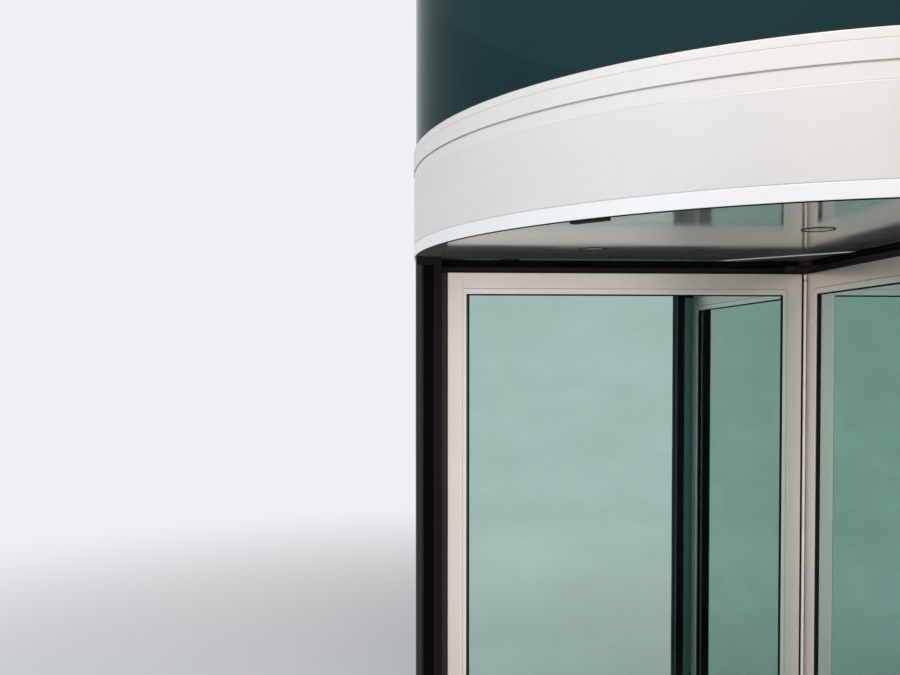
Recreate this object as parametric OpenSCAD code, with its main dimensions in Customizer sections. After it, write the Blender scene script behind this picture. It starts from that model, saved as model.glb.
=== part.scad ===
// Four-wing revolving door with a curved canopy and a glass drum above it.
// Origin on the turning axis at ground level, +Z up, the outside entrance faces -Y.

/* [Passage] */
// Height of the drum's ceiling above the ground
ceiling_z = 2100; // [1950:10:2600]
// Radius of the wings' frames, from the axis to the outer stile
wing_r = 1286; // [1100:1:1600]

/* [Wings] */
// Thickness of a wing's frame
wing_t = 35; // [30:1:45]
// Width of the outer stile, glazing bead included
stile_w = 72; // [50:1:100]
// Width of the inner stile, glazing bead included
inner_stile_w = 65.5; // [50:0.5:95]
// Height of a rail, glazing bead included
rail_h = 73.5; // [60:0.5:110]
// Width of the glazing bead along a stile
bead_w = 13; // [9:1:20]
// Height of the glazing bead along a rail
rail_bead_h = 20; // [13:1:30]
// How far the glazing bead is set back from the frame's face
bead_step = 2; // [1:0.5:4]
// Thickness of the wings' glass
wing_glass_t = 8; // [5:1:12]
// Distance from the axis to a wing's inner stile
stile_start = 31.5; // [28:0.5:38]
// Underside of the wings' bottom rail above the ground
wing_bottom_z = 38; // [34:1:60]

/* [Seals] */
// Distance from the axis to the start of the holders on top of the wings
seal_start = 88; // [66:1:110]
// Height of the holder and brush on top of a wing
top_seal_h = 48.5; // [42:0.5:68]
// Height of the holder alone
seal_holder_h = 23; // [15:1:28]
// Thickness of the brush holder
seal_holder_t = 16; // [12:1:22]
// Thickness of a brush
brush_t = 9; // [5:1:11]
// Width of the groove between the outer stile and its side holder
side_neck_w = 9.5; // [5:0.5:15]
// Width of the side holder
side_holder_w = 11; // [8:1:18]
// Thickness of the side holder
side_holder_t = 22; // [14:1:28]
// How far the side brush stands out of its holder
side_brush_w = 1; // [1:0.5:5]
// Gap between the side brush and the drum wall
side_gap = 5; // [5:1:10]
// Gap between the top brush and the ceiling
top_gap = 8; // [8:1:12]
// Gap between the bottom brush and the floor
floor_gap = 6; // [5:1:10]

/* [Centre] */
// Side of the square centre post
centre_w = 32; // [30:1:40]
// Thickness of the webs that carry the inner stiles
centre_web_t = 21; // [14:1:22]
// Diameter of the corner beads between the wings
corner_bead_d = 11; // [8:1:11]
// Diameter of the hub above the wings
hub_d = 57; // [50:1:64]
// Diameter of the shaft that turns in the top bearing
shaft_d = 37; // [22:1:42]
// Diameter of the pin that turns in the floor bearing
pin_d = 26; // [16:1:32]
// Radial running clearance of both bearings
bearing_clear = 0.06; // [0.02:0.01:0.1]
// Diameter of the top bearing's flange
flange_d = 69; // [64:1:96]
// Thickness of the top bearing's flange
flange_t = 17.5; // [6:0.5:22]
// Diameter of the floor bearing
floor_bearing_d = 96; // [70:1:130]

/* [Drum wall] */
// Depth of a post, measured along the drum's radius
post_depth = 87.5; // [84:0.5:120]
// Width of a post, measured along the wall
post_w = 37; // [34:1:60]
// How far the end posts stand past the wings' diagonals, in degrees
post_past = 3; // [0:0.5:5]
// Depth of the rounded outer nose of a post
post_nose = 31.5; // [31.5:0.5:40]
// Corner radius of the rounded nose
nose_r = 15.5; // [6:0.5:15.5]
// Depth of the post's inner face block
post_face = 27; // [22:1:32]
// How far the middle of a post is set back on each side
post_recess = 6; // [2:1:9]
// Height of the plain block at the head of each post
post_head_h = 28; // [22:1:36]
// Thickness of the curved wall glass
wall_glass_t = 9; // [6:1:14]
// Inset of the wall glass from the drum's inner surface
wall_glass_in = 3; // [2:1:12]
// Depth of the curved sills and head rails
wall_rail_depth = 58; // [30:1:80]
// Height of the curved sills
sill_h = 80; // [45:1:140]
// Height of the curved head rails
head_h = 51; // [30:1:90]
// Width of the middle mullion of a side wall
mullion_w = 37; // [30:1:52]

/* [Floor] */
// Height of the floor ring and mats above the ground
floor_h = 15; // [12:1:22]
// Width of the floor ring inside the drum wall
ring_in = 63; // [30:1:90]
// Thickness of the tray under the mats
tray_t = 3; // [3:1:6]
// Gap between the two mats
mat_gap = 3; // [2:1:6]

/* [Canopy] */
// Outer radius of the fascia beyond the posts' outer faces
fascia_proud = 2; // [1:1:8]
// Height of the lower band, the ceiling's dark edge included
lower_band_h = 41; // [30:1:60]
// Height of the main fascia panel with its two joints
main_band_h = 212; // [150:1:320]
// Height of the upper band
upper_band_h = 36.5; // [22:0.5:60]
// Height of the dark groove below the coping
groove_h = 4.5; // [2:0.5:8]
// Height of the coping
coping_h = 69; // [44:1:100]
// Width of the thin joints between the bands
band_joint = 2; // [1:0.5:4]
// How far the coping stands out from the main panel
coping_proud = 1.5; // [0:0.5:4]
// Thickness of the fascia panels
panel_t = 8; // [5:1:12]
// Thickness of the ring frame behind the fascia
ring_frame_t = 10; // [6:1:16]
// How far the ceiling's edge is set back from the fascia
lip_in = 3; // [2:0.5:5]
// Width of the coping's top flange
top_flange_w = 46; // [30:1:66]
// Thickness of the coping's top flange
top_flange_t = 3; // [2:1:6]
// Thickness of the roof deck
deck_t = 8; // [5:1:15]

/* [Ceiling] */
// Thickness of the ceiling panels
ceiling_t = 3; // [3:1:6]
// Width of the beam cover that crosses the drum over the axis
beam_w = 419; // [300:1:590]
// Width of the bright trims along the beam cover
trim_w = 9; // [6:1:15]
// How far trims and bezels stand below the ceiling
trim_proud = 2; // [1:0.5:3]
// Diameter of a downlight's bezel
downlight_d = 87; // [66:1:110]
// Width of the bezel's lip round the downlight's housing
downlight_lip = 8; // [4:1:14]
// Height of a downlight's housing
downlight_can_h = 50; // [24:1:70]
// Distance of the downlights from the middle, along the facade
downlight_x = 353; // [180:1:520]
// Distance of the downlights from the middle, across the facade
downlight_y = 841; // [510:1:920]
// Length of the sensor bars
sensor_l = 110; // [80:1:220]
// Width of the sensor bars
sensor_w = 22; // [14:1:44]
// Height of the sensor bars
sensor_h = 4.5; // [3:0.5:22]

/* [Upper drum] */
// Height of the glass above the canopy
upper_glass_h = 607; // [300:1:900]
// Thickness of the upper glass
upper_glass_t = 10; // [6:1:15]
// How far the upper glass is set back from the fascia
upper_glass_in = 6.5; // [4:0.5:15]
// Height of the head ring on top of the glass
head_ring_h = 59; // [36:1:100]
// Thickness of the head ring
head_ring_t = 21; // [15:1:30]
// Gap between the curved glass panes and panels
pane_gap = 4.5; // [2.5:0.5:8]

/* [Hidden] */
$fn = 128;

// Directions, in degrees from +X
a_front_left = -135;
a_front_right = -45;
a_rear_right = 45;
a_rear_left = 135;
WINGS = [a_front_left, a_front_right, a_rear_right, a_rear_left];
a_front = -90;
a_rear = 90;
a_left = 180;
a_right = 0;
quarter = 90;

// Colours
c_silver = [0.86, 0.85, 0.83];
c_frame = [0.78, 0.75, 0.70];
c_dark = [0.09, 0.08, 0.08];
c_holder = [0.26, 0.22, 0.19];
c_black = [0.03, 0.03, 0.03];
c_steel = [0.62, 0.63, 0.64];
c_ceiling = [0.45, 0.47, 0.50];
c_wing_glass = [0.35, 0.50, 0.48, 0.5];
c_wall_glass = [0.16, 0.24, 0.26, 0.6];
c_upper_glass = [0.05, 0.13, 0.15, 0.9];
c_mat = [0.24, 0.24, 0.25];

// Radii
side_reach = side_neck_w + side_holder_w + side_brush_w;
wall_in_r = wing_r + side_reach + side_gap;
wall_out_r = wall_in_r + post_depth;
fascia_r = wall_out_r + fascia_proud;
frame_out_r = fascia_r - panel_t;
frame_in_r = frame_out_r - ring_frame_t;
upper_glass_r = fascia_r - upper_glass_in;
ring_in_r = wall_in_r - ring_in;
downlight_can_d = downlight_d - 2 * downlight_lip;
post_mid_depth = post_depth - post_face - post_nose;
ceiling_r = fascia_r - lip_in;

// Heights
wing_top_z = ceiling_z - top_seal_h;
wing_h = wing_top_z - wing_bottom_z;
brush_top_z = ceiling_z - top_gap;
lower_band_z = ceiling_z + ceiling_t;
main_z = ceiling_z + lower_band_h;
upper_band_z = main_z + main_band_h;
groove_z = upper_band_z + upper_band_h;
coping_z = groove_z + groove_h;
canopy_top_z = coping_z + coping_h;
frame_top_z = canopy_top_z - top_flange_t;
head_ring_z = canopy_top_z + upper_glass_h;
top_z = head_ring_z + head_ring_h;

// Small fixed details
coping_line = 1.5;
coping_line_share = 0.34;
hair = 0.02;
housing_clear = 1;
neck_t = 10;
flange_gap = 5;
sleeve_h = 30;
sleeve_wall = 10;
pin_bottom_z = 8;
bearing_floor_z = 6;
bearing_rise = 5;
post_foot_gap = 6;
post_head_in = 1;
filler_gap = 0.5;
sensor_edge = 1;

// Plan position on the circle of radius r at angle a
function on_circle(r, a) = [r * cos(a), r * sin(a)];
// Angle that a length along the wall takes at radius r
function arc_angle(len, r) = len / r * 180 / PI;

// Ring of rectangular section, whole
module ring(r_in, r_out, z, h) {
    translate([0, 0, z])
        difference() {
            cylinder(r = r_out, h = h);
            translate([0, 0, -1]) cylinder(r = r_in, h = h + 2);
        }
}

// Piece of a ring, centred on direction a and sweep degrees long
module ring_piece(r_in, r_out, z, h, a, sweep) {
    rotate([0, 0, a - sweep / 2])
        translate([0, 0, z])
            rotate_extrude(angle = sweep)
                translate([r_in, 0])
                    square([r_out - r_in, h]);
}

// Piece of wall between the posts, on one side of the middle mullion
module wall_piece(r_in, r_out, z, h, a, side) {
    post_a = arc_angle(post_w / 2, wall_in_r);
    mullion_a = arc_angle(mullion_w / 2, wall_in_r);
    sweep = quarter / 2 + post_past - post_a - mullion_a;
    ring_piece(r_in, r_out, z, h, a + side * (mullion_a + sweep / 2), sweep);
}

// Outline with rounded corners, drawn from its lower left corner
module rounded_plan(w, d, r) {
    translate([r, 0]) square([w - 2 * r, d]);
    translate([0, r]) square([w, d - 2 * r]);
    for (x = [r, w - r], y = [r, d - r]) translate([x, y]) circle(r = r);
}

// Plan of a post along the radius: face block, recessed middle and rounded nose
module post_plan() {
    mid_w = post_w - 2 * post_recess;
    nose_start = wall_out_r - post_nose;
    translate([wall_in_r, -post_w / 2]) square([post_face, post_w]);
    translate([wall_in_r + post_face, -mid_w / 2]) square([post_mid_depth + nose_r, mid_w]);
    translate([nose_start, -post_w / 2]) rounded_plan(post_nose, post_w, nose_r);
}

// Post with a plain block as its head
module post(a) {
    head_z = ceiling_z - post_head_h;
    color(c_dark)
        rotate([0, 0, a]) {
            translate([0, 0, floor_h]) linear_extrude(height = head_z - floor_h) post_plan();
            translate([wall_in_r, -post_w / 2, head_z])
                cube([post_depth - post_head_in, post_w, post_head_h]);
        }
}

module mullions() {
    color(c_dark)
        for (a = [a_left, a_right])
            rotate([0, 0, a])
                translate([wall_in_r, -mullion_w / 2, floor_h])
                    cube([post_depth, mullion_w, ceiling_z - floor_h]);
}

module side_glass(a) {
    r = wall_in_r + wall_glass_in;
    z = floor_h + sill_h;
    color(c_wall_glass)
        for (side = [-1, 1]) wall_piece(r, r + wall_glass_t, z, ceiling_z - head_h - z, a, side);
}

module side_sills() {
    color(c_dark)
        for (a = [a_left, a_right], side = [-1, 1])
            wall_piece(wall_in_r, wall_in_r + wall_rail_depth, floor_h, sill_h, a, side);
}

module side_heads() {
    color(c_dark)
        for (a = [a_left, a_right], side = [-1, 1])
            wall_piece(wall_in_r, wall_in_r + wall_rail_depth, ceiling_z - head_h, head_h - hair, a, side);
}

module floor_ring() {
    color(c_steel) ring(ring_in_r, wall_out_r, 0, floor_h);
}

module floor_tray() {
    color(c_black) ring(floor_bearing_d / 2, ring_in_r, 0, tray_t);
}

// Half of the round mat, on the side that sign gives
module mat(sign) {
    color(c_mat)
        translate([0, 0, tray_t])
            linear_extrude(height = floor_h - tray_t)
                difference() {
                    circle(r = ring_in_r);
                    circle(d = floor_bearing_d);
                    translate([-ring_in_r, sign > 0 ? -2 * ring_in_r + mat_gap / 2 : -mat_gap / 2])
                        square([2 * ring_in_r, 2 * ring_in_r]);
                }
}

module floor_bearing() {
    color(c_steel)
        difference() {
            cylinder(d = floor_bearing_d, h = floor_h + bearing_rise);
            translate([0, 0, bearing_floor_z])
                cylinder(r = pin_d / 2 + bearing_clear, h = floor_h + bearing_rise);
        }
}

module canopy_frame() {
    color(c_black) ring(frame_in_r, frame_out_r, lower_band_z, frame_top_z - lower_band_z);
}

module lower_band() {
    color(c_silver) ring(frame_out_r, fascia_r, lower_band_z, main_z - lower_band_z);
}

module fascia_panel(a) {
    sweep = quarter - arc_angle(pane_gap, fascia_r);
    h = main_band_h - 2 * band_joint;
    color(c_silver) ring_piece(frame_out_r, fascia_r, main_z + band_joint, h, a, sweep);
}

module upper_band() {
    color(c_silver) ring(frame_out_r, fascia_r - coping_proud, upper_band_z, upper_band_h);
}

// Coping with a fine line round its face and a flange over the ring frame
module coping() {
    face_r = fascia_r + coping_proud;
    line_z = canopy_top_z - coping_line_share * coping_h;
    color(c_silver)
        rotate_extrude()
            polygon([
                [frame_out_r, coping_z],
                [face_r, coping_z],
                [face_r, line_z - coping_line],
                [face_r - coping_line, line_z],
                [face_r, line_z + coping_line],
                [face_r, canopy_top_z],
                [fascia_r - top_flange_w, canopy_top_z],
                [fascia_r - top_flange_w, frame_top_z],
                [frame_out_r, frame_top_z]
            ]);
}

module roof_deck() {
    color(c_dark)
        translate([0, 0, frame_top_z - deck_t]) cylinder(r = frame_in_r, h = deck_t);
}

// Ceiling panel on one side of the beam cover, cut for its downlights
module ceiling_panel(sign) {
    edge = beam_w / 2;
    color(c_ceiling)
        translate([0, 0, ceiling_z])
            linear_extrude(height = ceiling_t)
                difference() {
                    circle(r = ceiling_r);
                    translate([-ceiling_r, sign > 0 ? -2 * ceiling_r + edge : -edge])
                        square([2 * ceiling_r, 2 * ceiling_r]);
                    for (x = [-downlight_x, downlight_x])
                        translate([x, sign * downlight_y]) circle(d = downlight_can_d + 2 * housing_clear);
                }
}

module beam_cover() {
    color(c_ceiling)
        translate([0, 0, ceiling_z])
            linear_extrude(height = ceiling_t)
                difference() {
                    intersection() {
                        circle(r = ceiling_r);
                        square([2 * ceiling_r, beam_w], center = true);
                    }
                    circle(r = shaft_d / 2 + sleeve_wall + housing_clear);
                }
}

// Flat trims that cover the joints between the beam cover and the panels
module beam_trims() {
    half = sqrt(pow(wall_in_r, 2) - pow((beam_w + trim_w) / 2, 2)) - housing_clear;
    color(c_steel)
        for (side = [-1, 1])
            translate([-half, side * beam_w / 2 - trim_w / 2, ceiling_z - trim_proud])
                cube([2 * half, trim_w, trim_proud]);
}

module downlights() {
    color(c_silver)
        for (x = [-downlight_x, downlight_x], y = [-downlight_y, downlight_y])
            translate([x, y, ceiling_z]) {
                translate([0, 0, -trim_proud]) cylinder(d = downlight_d, h = trim_proud);
                cylinder(d = downlight_can_d, h = downlight_can_h);
            }
}

module sensors() {
    y_mid = sqrt(pow(ceiling_r, 2) - pow(sensor_l / 2, 2)) - sensor_edge - sensor_w / 2;
    color(c_black)
        for (side = [-1, 1])
            translate([-sensor_l / 2, side * y_mid - sensor_w / 2, ceiling_z - sensor_h])
                cube([sensor_l, sensor_w, sensor_h]);
}

// Flange under the ceiling with a sleeve that guides the top shaft
module bearing_flange() {
    color(c_dark)
        difference() {
            union() {
                translate([0, 0, ceiling_z - flange_t]) cylinder(d = flange_d, h = flange_t);
                translate([0, 0, ceiling_z]) cylinder(r = shaft_d / 2 + sleeve_wall, h = sleeve_h);
            }
            translate([0, 0, ceiling_z - flange_t - 1])
                cylinder(r = shaft_d / 2 + bearing_clear, h = flange_t + sleeve_h + 2);
        }
}

module upper_glass(a) {
    sweep = quarter - arc_angle(pane_gap, upper_glass_r);
    inner_r = upper_glass_r - upper_glass_t;
    color(c_upper_glass) ring_piece(inner_r, upper_glass_r, canopy_top_z, upper_glass_h - hair, a, sweep);
}

module head_ring() {
    color(c_dark)
        ring(upper_glass_r - head_ring_t, fascia_r, head_ring_z, head_ring_h);
}

// Square post with a web to each inner stile, and the pin that it stands on
module centre_post() {
    color(c_black) {
        rotate([0, 0, a_rear_right])
            translate([0, 0, wing_bottom_z])
                linear_extrude(height = wing_h) {
                    square([centre_w, centre_w], center = true);
                    square([2 * stile_start, centre_web_t], center = true);
                    square([centre_web_t, 2 * stile_start], center = true);
                }
        translate([0, 0, pin_bottom_z]) cylinder(d = pin_d, h = wing_bottom_z - pin_bottom_z);
    }
}

module corner_beads() {
    at = (centre_w + corner_bead_d / 3) / 2;
    color(c_silver)
        for (a = WINGS)
            rotate([0, 0, a])
                translate([0, 0, wing_bottom_z])
                    linear_extrude(height = wing_h)
                        difference() {
                            translate([at, at]) circle(d = corner_bead_d);
                            square([centre_w, centre_w], center = true);
                            translate([stile_start, -wing_t / 2]) square([wing_r, wing_t]);
                            translate([-wing_t / 2, stile_start]) square([wing_t, wing_r]);
                        }
}

module hub() {
    hub_top_z = ceiling_z - flange_t - flange_gap;
    color(c_dark) {
        translate([0, 0, wing_top_z]) cylinder(d = hub_d, h = hub_top_z - wing_top_z);
        translate([0, 0, hub_top_z]) cylinder(d = shaft_d, h = ceiling_z + sleeve_h - hub_top_z);
    }
}

// Upright rectangle ring with an opening that starts at x and is opening_w wide, its rails edge high
module upright_ring(w, h, t, x, opening_w, edge) {
    difference() {
        translate([0, -t / 2, 0]) cube([w, t, h]);
        translate([x, -t, edge]) cube([opening_w, 2 * t, h - 2 * edge]);
    }
}

// Wing frame: stiles and rails with a set-back glazing bead on both faces
module wing_frame(a) {
    frame_w = wing_r - stile_start;
    inner_x = inner_stile_w - bead_w;
    opening_w = frame_w - inner_x - stile_w + bead_w;
    bead_z = rail_h - rail_bead_h;
    bead_t = wing_t - 2 * bead_step;
    opening_h = wing_h - 2 * bead_z;
    color(c_frame)
        rotate([0, 0, a])
            translate([stile_start, 0, wing_bottom_z]) {
                upright_ring(frame_w, wing_h, wing_t, inner_x, opening_w, bead_z);
                translate([inner_x, 0, bead_z])
                    upright_ring(opening_w, opening_h, bead_t, bead_w, opening_w - 2 * bead_w, rail_bead_h);
            }
}

module wing_glass(a) {
    glass_start = stile_start + inner_stile_w;
    color(c_wing_glass)
        rotate([0, 0, a])
            translate([glass_start, -wing_glass_t / 2, wing_bottom_z + rail_h])
                cube([wing_r - stile_w - glass_start, wing_glass_t, wing_h - 2 * rail_h]);
}

// Holder of the top brush, as far out as the side holder
module top_holders() {
    holder_l = wing_r + side_neck_w + side_holder_w - seal_start;
    color(c_holder)
        for (a = WINGS)
            rotate([0, 0, a])
                translate([seal_start, -seal_holder_t / 2, wing_top_z])
                    cube([holder_l, seal_holder_t, seal_holder_h]);
}

// Top brushes, with a block below each that fills the gap between the hub and the holder
module top_brushes() {
    start = flange_d / 2 + flange_gap;
    brush_z = wing_top_z + seal_holder_h;
    filler_start = hub_d / 2 + filler_gap;
    color(c_black)
        for (a = WINGS)
            rotate([0, 0, a]) {
                translate([start, -brush_t / 2, brush_z])
                    cube([wing_r + side_reach - start, brush_t, brush_top_z - brush_z]);
                translate([filler_start, -brush_t / 2, wing_top_z])
                    cube([seal_start - filler_start, brush_t, seal_holder_h + filler_gap]);
            }
}

// Side holders: a thin neck on the stile with a broader strip that carries the brush
module side_holders() {
    color(c_holder)
        for (a = WINGS)
            rotate([0, 0, a])
                translate([wing_r, 0, wing_bottom_z])
                    linear_extrude(height = wing_h) {
                        translate([0, -neck_t / 2]) square([side_neck_w, neck_t]);
                        translate([side_neck_w, -side_holder_t / 2]) square([side_holder_w, side_holder_t]);
                    }
}

module side_brushes() {
    color(c_black)
        for (a = WINGS)
            rotate([0, 0, a])
                translate([wing_r + side_neck_w + side_holder_w, -brush_t / 2, wing_bottom_z])
                    cube([side_brush_w, brush_t, wing_h]);
}

module bottom_brushes() {
    start = floor_bearing_d / 2 + post_foot_gap;
    color(c_black)
        for (a = WINGS)
            rotate([0, 0, a])
                translate([start, -brush_t / 2, floor_h + floor_gap])
                    cube([wing_r - start, brush_t, wing_bottom_z - floor_h - floor_gap]);
}

floor_ring();
floor_tray();
mat(-1);  // mat_front
mat(1);  // mat_rear
floor_bearing();
post(a_front_left + post_past);  // post_front_left
post(a_front_right - post_past);  // post_front_right
post(a_rear_left - post_past);  // post_rear_left
post(a_rear_right + post_past);  // post_rear_right
side_glass(a_left);  // side_glass_left
side_glass(a_right);  // side_glass_right
side_sills();
side_heads();
mullions();
canopy_frame();
lower_band();
fascia_panel(a_front);  // fascia_front
fascia_panel(a_rear);  // fascia_rear
fascia_panel(a_left);  // fascia_left
fascia_panel(a_right);  // fascia_right
upper_band();
coping();
ceiling_panel(-1);  // ceiling_front
ceiling_panel(1);  // ceiling_rear
beam_cover();
beam_trims();
downlights();
sensors();
bearing_flange();
roof_deck();
upper_glass(a_front);  // upper_glass_front
upper_glass(a_rear);  // upper_glass_rear
upper_glass(a_left);  // upper_glass_left
upper_glass(a_right);  // upper_glass_right
head_ring();
centre_post();
corner_beads();
hub();
wing_frame(a_front_left);  // wing_frame_front_left
wing_frame(a_front_right);  // wing_frame_front_right
wing_frame(a_rear_left);  // wing_frame_rear_left
wing_frame(a_rear_right);  // wing_frame_rear_right
wing_glass(a_front_left);  // wing_glass_front_left
wing_glass(a_front_right);  // wing_glass_front_right
wing_glass(a_rear_left);  // wing_glass_rear_left
wing_glass(a_rear_right);  // wing_glass_rear_right
top_holders();
top_brushes();
side_holders();
side_brushes();
bottom_brushes();
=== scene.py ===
import math
from functools import cache

import bmesh
import bpy
import numpy as np
from bpy.props import FloatProperty, FloatVectorProperty, IntProperty, PointerProperty
from mathutils import Matrix, Vector


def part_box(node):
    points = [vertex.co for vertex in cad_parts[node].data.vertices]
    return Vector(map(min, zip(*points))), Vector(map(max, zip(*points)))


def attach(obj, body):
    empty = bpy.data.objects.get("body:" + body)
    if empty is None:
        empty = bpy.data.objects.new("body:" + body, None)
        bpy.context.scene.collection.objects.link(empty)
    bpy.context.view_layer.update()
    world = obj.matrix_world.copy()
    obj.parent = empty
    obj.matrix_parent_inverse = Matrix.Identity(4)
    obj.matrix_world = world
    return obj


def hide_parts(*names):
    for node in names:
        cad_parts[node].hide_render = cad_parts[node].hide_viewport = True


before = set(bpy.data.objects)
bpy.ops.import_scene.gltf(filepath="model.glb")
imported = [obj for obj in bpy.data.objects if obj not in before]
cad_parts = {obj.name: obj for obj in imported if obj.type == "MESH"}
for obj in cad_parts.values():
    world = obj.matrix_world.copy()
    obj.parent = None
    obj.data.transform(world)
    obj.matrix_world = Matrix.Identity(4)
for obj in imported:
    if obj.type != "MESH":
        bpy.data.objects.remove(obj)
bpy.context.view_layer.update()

bl_info = {
    "name": "Revolving door",
    "version": (1, 0, 0),
    "blender": (4, 5, 0),
    "location": "3D View > Sidebar > Revolving door",
    "description": "Dresses the packed frame of a four-wing revolving door",
    "category": "Object",
}

DRUM, ROTOR = "drum", "rotor"
WINGS = {"front_left": -135, "front_right": -45, "rear_right": 45, "rear_left": 135}
PANES = {"front": -90, "right": 0, "rear": 90, "left": 180}
SIDES = {"left": 180, "right": 0}
MM = 0.001
TINY = 1e-6
PIN = 0.3 * MM  # radius at which a solid round part closes on its axis
BESIDE = 20 * MM  # a wing's own parts lie within this distance of its middle
SOFT = 35  # edges that turn by more than this many degrees stay sharp
FLOOR_SCREW = 7 * MM  # width of a screw's head in the floor
SUNK = 0.1 * MM  # how deep the heads sit in the plates


# Places read from the frame

def points_of(node):
    """Vertices of a CAD node, one row each."""
    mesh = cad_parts[node].data
    places = np.empty(len(mesh.vertices) * 3, np.float32)
    mesh.vertices.foreach_get("co", places)
    return places.reshape(-1, 3).astype(float)


def radii_of(node):
    """Distances of a node's vertices from the axis, and their heights."""
    places = points_of(node)
    return np.hypot(places[:, 0], places[:, 1]), places[:, 2]


def ring_of(node):
    """Inner radius, outer radius, underside and top of a node that follows the drum."""
    radii, heights = radii_of(node)
    return radii.min(), radii.max(), heights.min(), heights.max()


def span(node, in_corner=False):
    """Where a node starts about the axis and how far it sweeps, in degrees. In_corner keeps to +X and +Y."""
    places = points_of(node)
    if in_corner:
        places = places[(places[:, 0] > 0) & (places[:, 1] > 0)]
    angles = np.degrees(np.arctan2(places[:, 1], places[:, 0]))
    return angles.min(), angles.max() - angles.min()


def on_wing(node, degrees, reach=math.inf):
    """Vertices of a node as along, across and up a wing, within reach of the wing's middle."""
    places = points_of(node)
    a = math.radians(degrees)
    along = places[:, 0] * math.cos(a) + places[:, 1] * math.sin(a)
    across = places[:, 1] * math.cos(a) - places[:, 0] * math.sin(a)
    near = (along > 0) & (np.abs(across) < reach)
    return np.stack([along, across, places[:, 2]], 1)[near]


def wing_box(node, degrees, reach=math.inf):
    """Lowest and highest corner of a node along a wing's own axes."""
    places = on_wing(node, degrees, reach)
    return Vector(places.min(0)), Vector(places.max(0))


def heading(node):
    """Direction from the axis to the inner face of a node, in degrees."""
    radii = radii_of(node)[0]
    x, y, _ = points_of(node)[radii < radii.min() + 0.1 * MM].mean(0)
    return math.degrees(math.atan2(y, x))


def ceiling_height():
    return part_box("beam_cover")[0].z


def about_axis(degrees):
    return Matrix.Rotation(math.radians(degrees), 4, "Z")


# Outlines

def at(across, up, *corners):
    """Corners beside a place, in millimetres: across, up and the rounding, where a corner has its own."""
    return [(across + x * MM, up + y * MM, *(r * MM for r in rest)) for x, y, *rest in corners]


def both_sides(run):
    """A closed outline from the corners on one side and their mirror images on the other."""
    return run + [(x, -y, *rest) for x, y, *rest in reversed(run)]


def box_outline(x0, x1, y0, y1):
    return [(x0, y0), (x1, y0), (x1, y1), (x0, y1)]


def round_steps(count):
    return [math.tau * i / count for i in range(count)]


def circle(radius, angles, height):
    return [(radius * math.cos(a), radius * math.sin(a), height) for a in angles]


def rounded(corners, radius, steps=3):
    """Closed outline with its corners rounded and a support point on each side of every arc."""
    hold = 0.15 * MM
    straight = math.radians(89)
    most = 0.49
    made = []
    for i, corner in enumerate(corners):
        here = Vector(corner[:2])
        r = corner[2] if len(corner) > 2 else radius
        before = Vector(corners[i - 1][:2]) - here
        after = Vector(corners[(i + 1) % len(corners)][:2]) - here
        half = before.angle(after) / 2
        if r <= 0 or half > straight:
            made.append(tuple(here))
            continue
        back = min(r / math.tan(half), most * before.length, most * after.length)
        r = back * math.tan(half)
        to_before, to_after = before.normalized(), after.normalized()
        centre = here + (to_before + to_after).normalized() * (r / math.sin(half))
        start, end = here + to_before * back, here + to_after * back
        supported = min(before.length, after.length) / 2 - back > 2 * hold
        if supported:
            made.append(tuple(start + to_before * hold))
        turn = (start - centre).angle_signed(end - centre)
        for k in range(steps + 1):
            arm = start - centre
            arm.rotate(Matrix.Rotation(-turn * k / steps, 2))
            made.append(tuple(centre + arm))
        if supported:
            made.append(tuple(end + to_after * hold))
    return made


def inset(outline, distance):
    """The outline drawn in by a small distance."""
    count = len(outline)
    area = sum(outline[i - 1][0] * outline[i][1] - outline[i][0] * outline[i - 1][1] for i in range(count))
    side = 1 if area > 0 else -1
    most_lean = 0.5
    made = []
    for i, here in enumerate(outline):
        a = (Vector(here) - Vector(outline[i - 1])).normalized()
        b = (Vector(outline[(i + 1) % count]) - Vector(here)).normalized()
        normal = Vector((-a.y - b.y, a.x + b.x))
        if normal.length < TINY:
            normal = Vector((-a.y, a.x))
        normal.normalize()
        lean = max(most_lean, normal.dot(Vector((-a.y, a.x))))
        made.append(tuple(Vector(here) + normal * (side * distance / lean)))
    return made


# Solids and pieces

def add_rings(solid, rings, finish=0, closed=False):
    """Skins a row of rings of points, with end caps unless the row closes on itself."""
    made = [[solid.verts.new(p) for p in ring] for ring in rings]
    following = made[1:] + made[:1] if closed else made[1:]
    for low, high in zip(made, following):
        for i in range(len(low)):
            solid.faces.new((low[i - 1], low[i], high[i], high[i - 1])).material_index = finish
    if not closed:
        for ring in (made[0], made[-1]):
            solid.faces.new(ring).material_index = finish


def add_bar(solid, outline, low, high, turn=None, axis="Z", edge=0.0, finish=0):
    """An outline drawn out along an axis, with its ends chamfered by edge."""
    levels = [(low, 0.0), (high, 0.0)]
    if edge:
        levels = [(low, edge), (low + edge, 0.0), (high - edge, 0.0), (high, edge)]
    rings = []
    for level, drawn in levels:
        flat = inset(outline, drawn) if drawn else outline
        ring = [Vector((level, a, b) if axis == "X" else (a, b, level)) for a, b in flat]
        rings.append([turn @ p for p in ring] if turn else ring)
    add_rings(solid, rings, finish)


def add_mitred(solid, box, section, turn, finish=0, share=1.0):
    """A four-sided frame with mitred corners. Its section is (inset from the box, across), and share sets
    how much wider it is along the rails than along the stiles."""
    x0, x1, z0, z1 = box
    rings = []
    for a, b in section:
        corners = box_outline(x0 + a, x1 - a, z0 + a * share, z1 - a * share)
        rings.append([turn @ Vector((x, b, z)) for x, z in corners])
    add_rings(solid, rings, finish, closed=True)


def smooth(mesh, degrees=SOFT):
    mesh.polygons.foreach_set("use_smooth", [True] * len(mesh.polygons))
    mesh.set_sharp_from_angle(angle=math.radians(degrees))


def show(name, mesh):
    piece = bpy.data.objects.new(name, mesh)
    bpy.context.scene.collection.objects.link(piece)
    return piece


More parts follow.
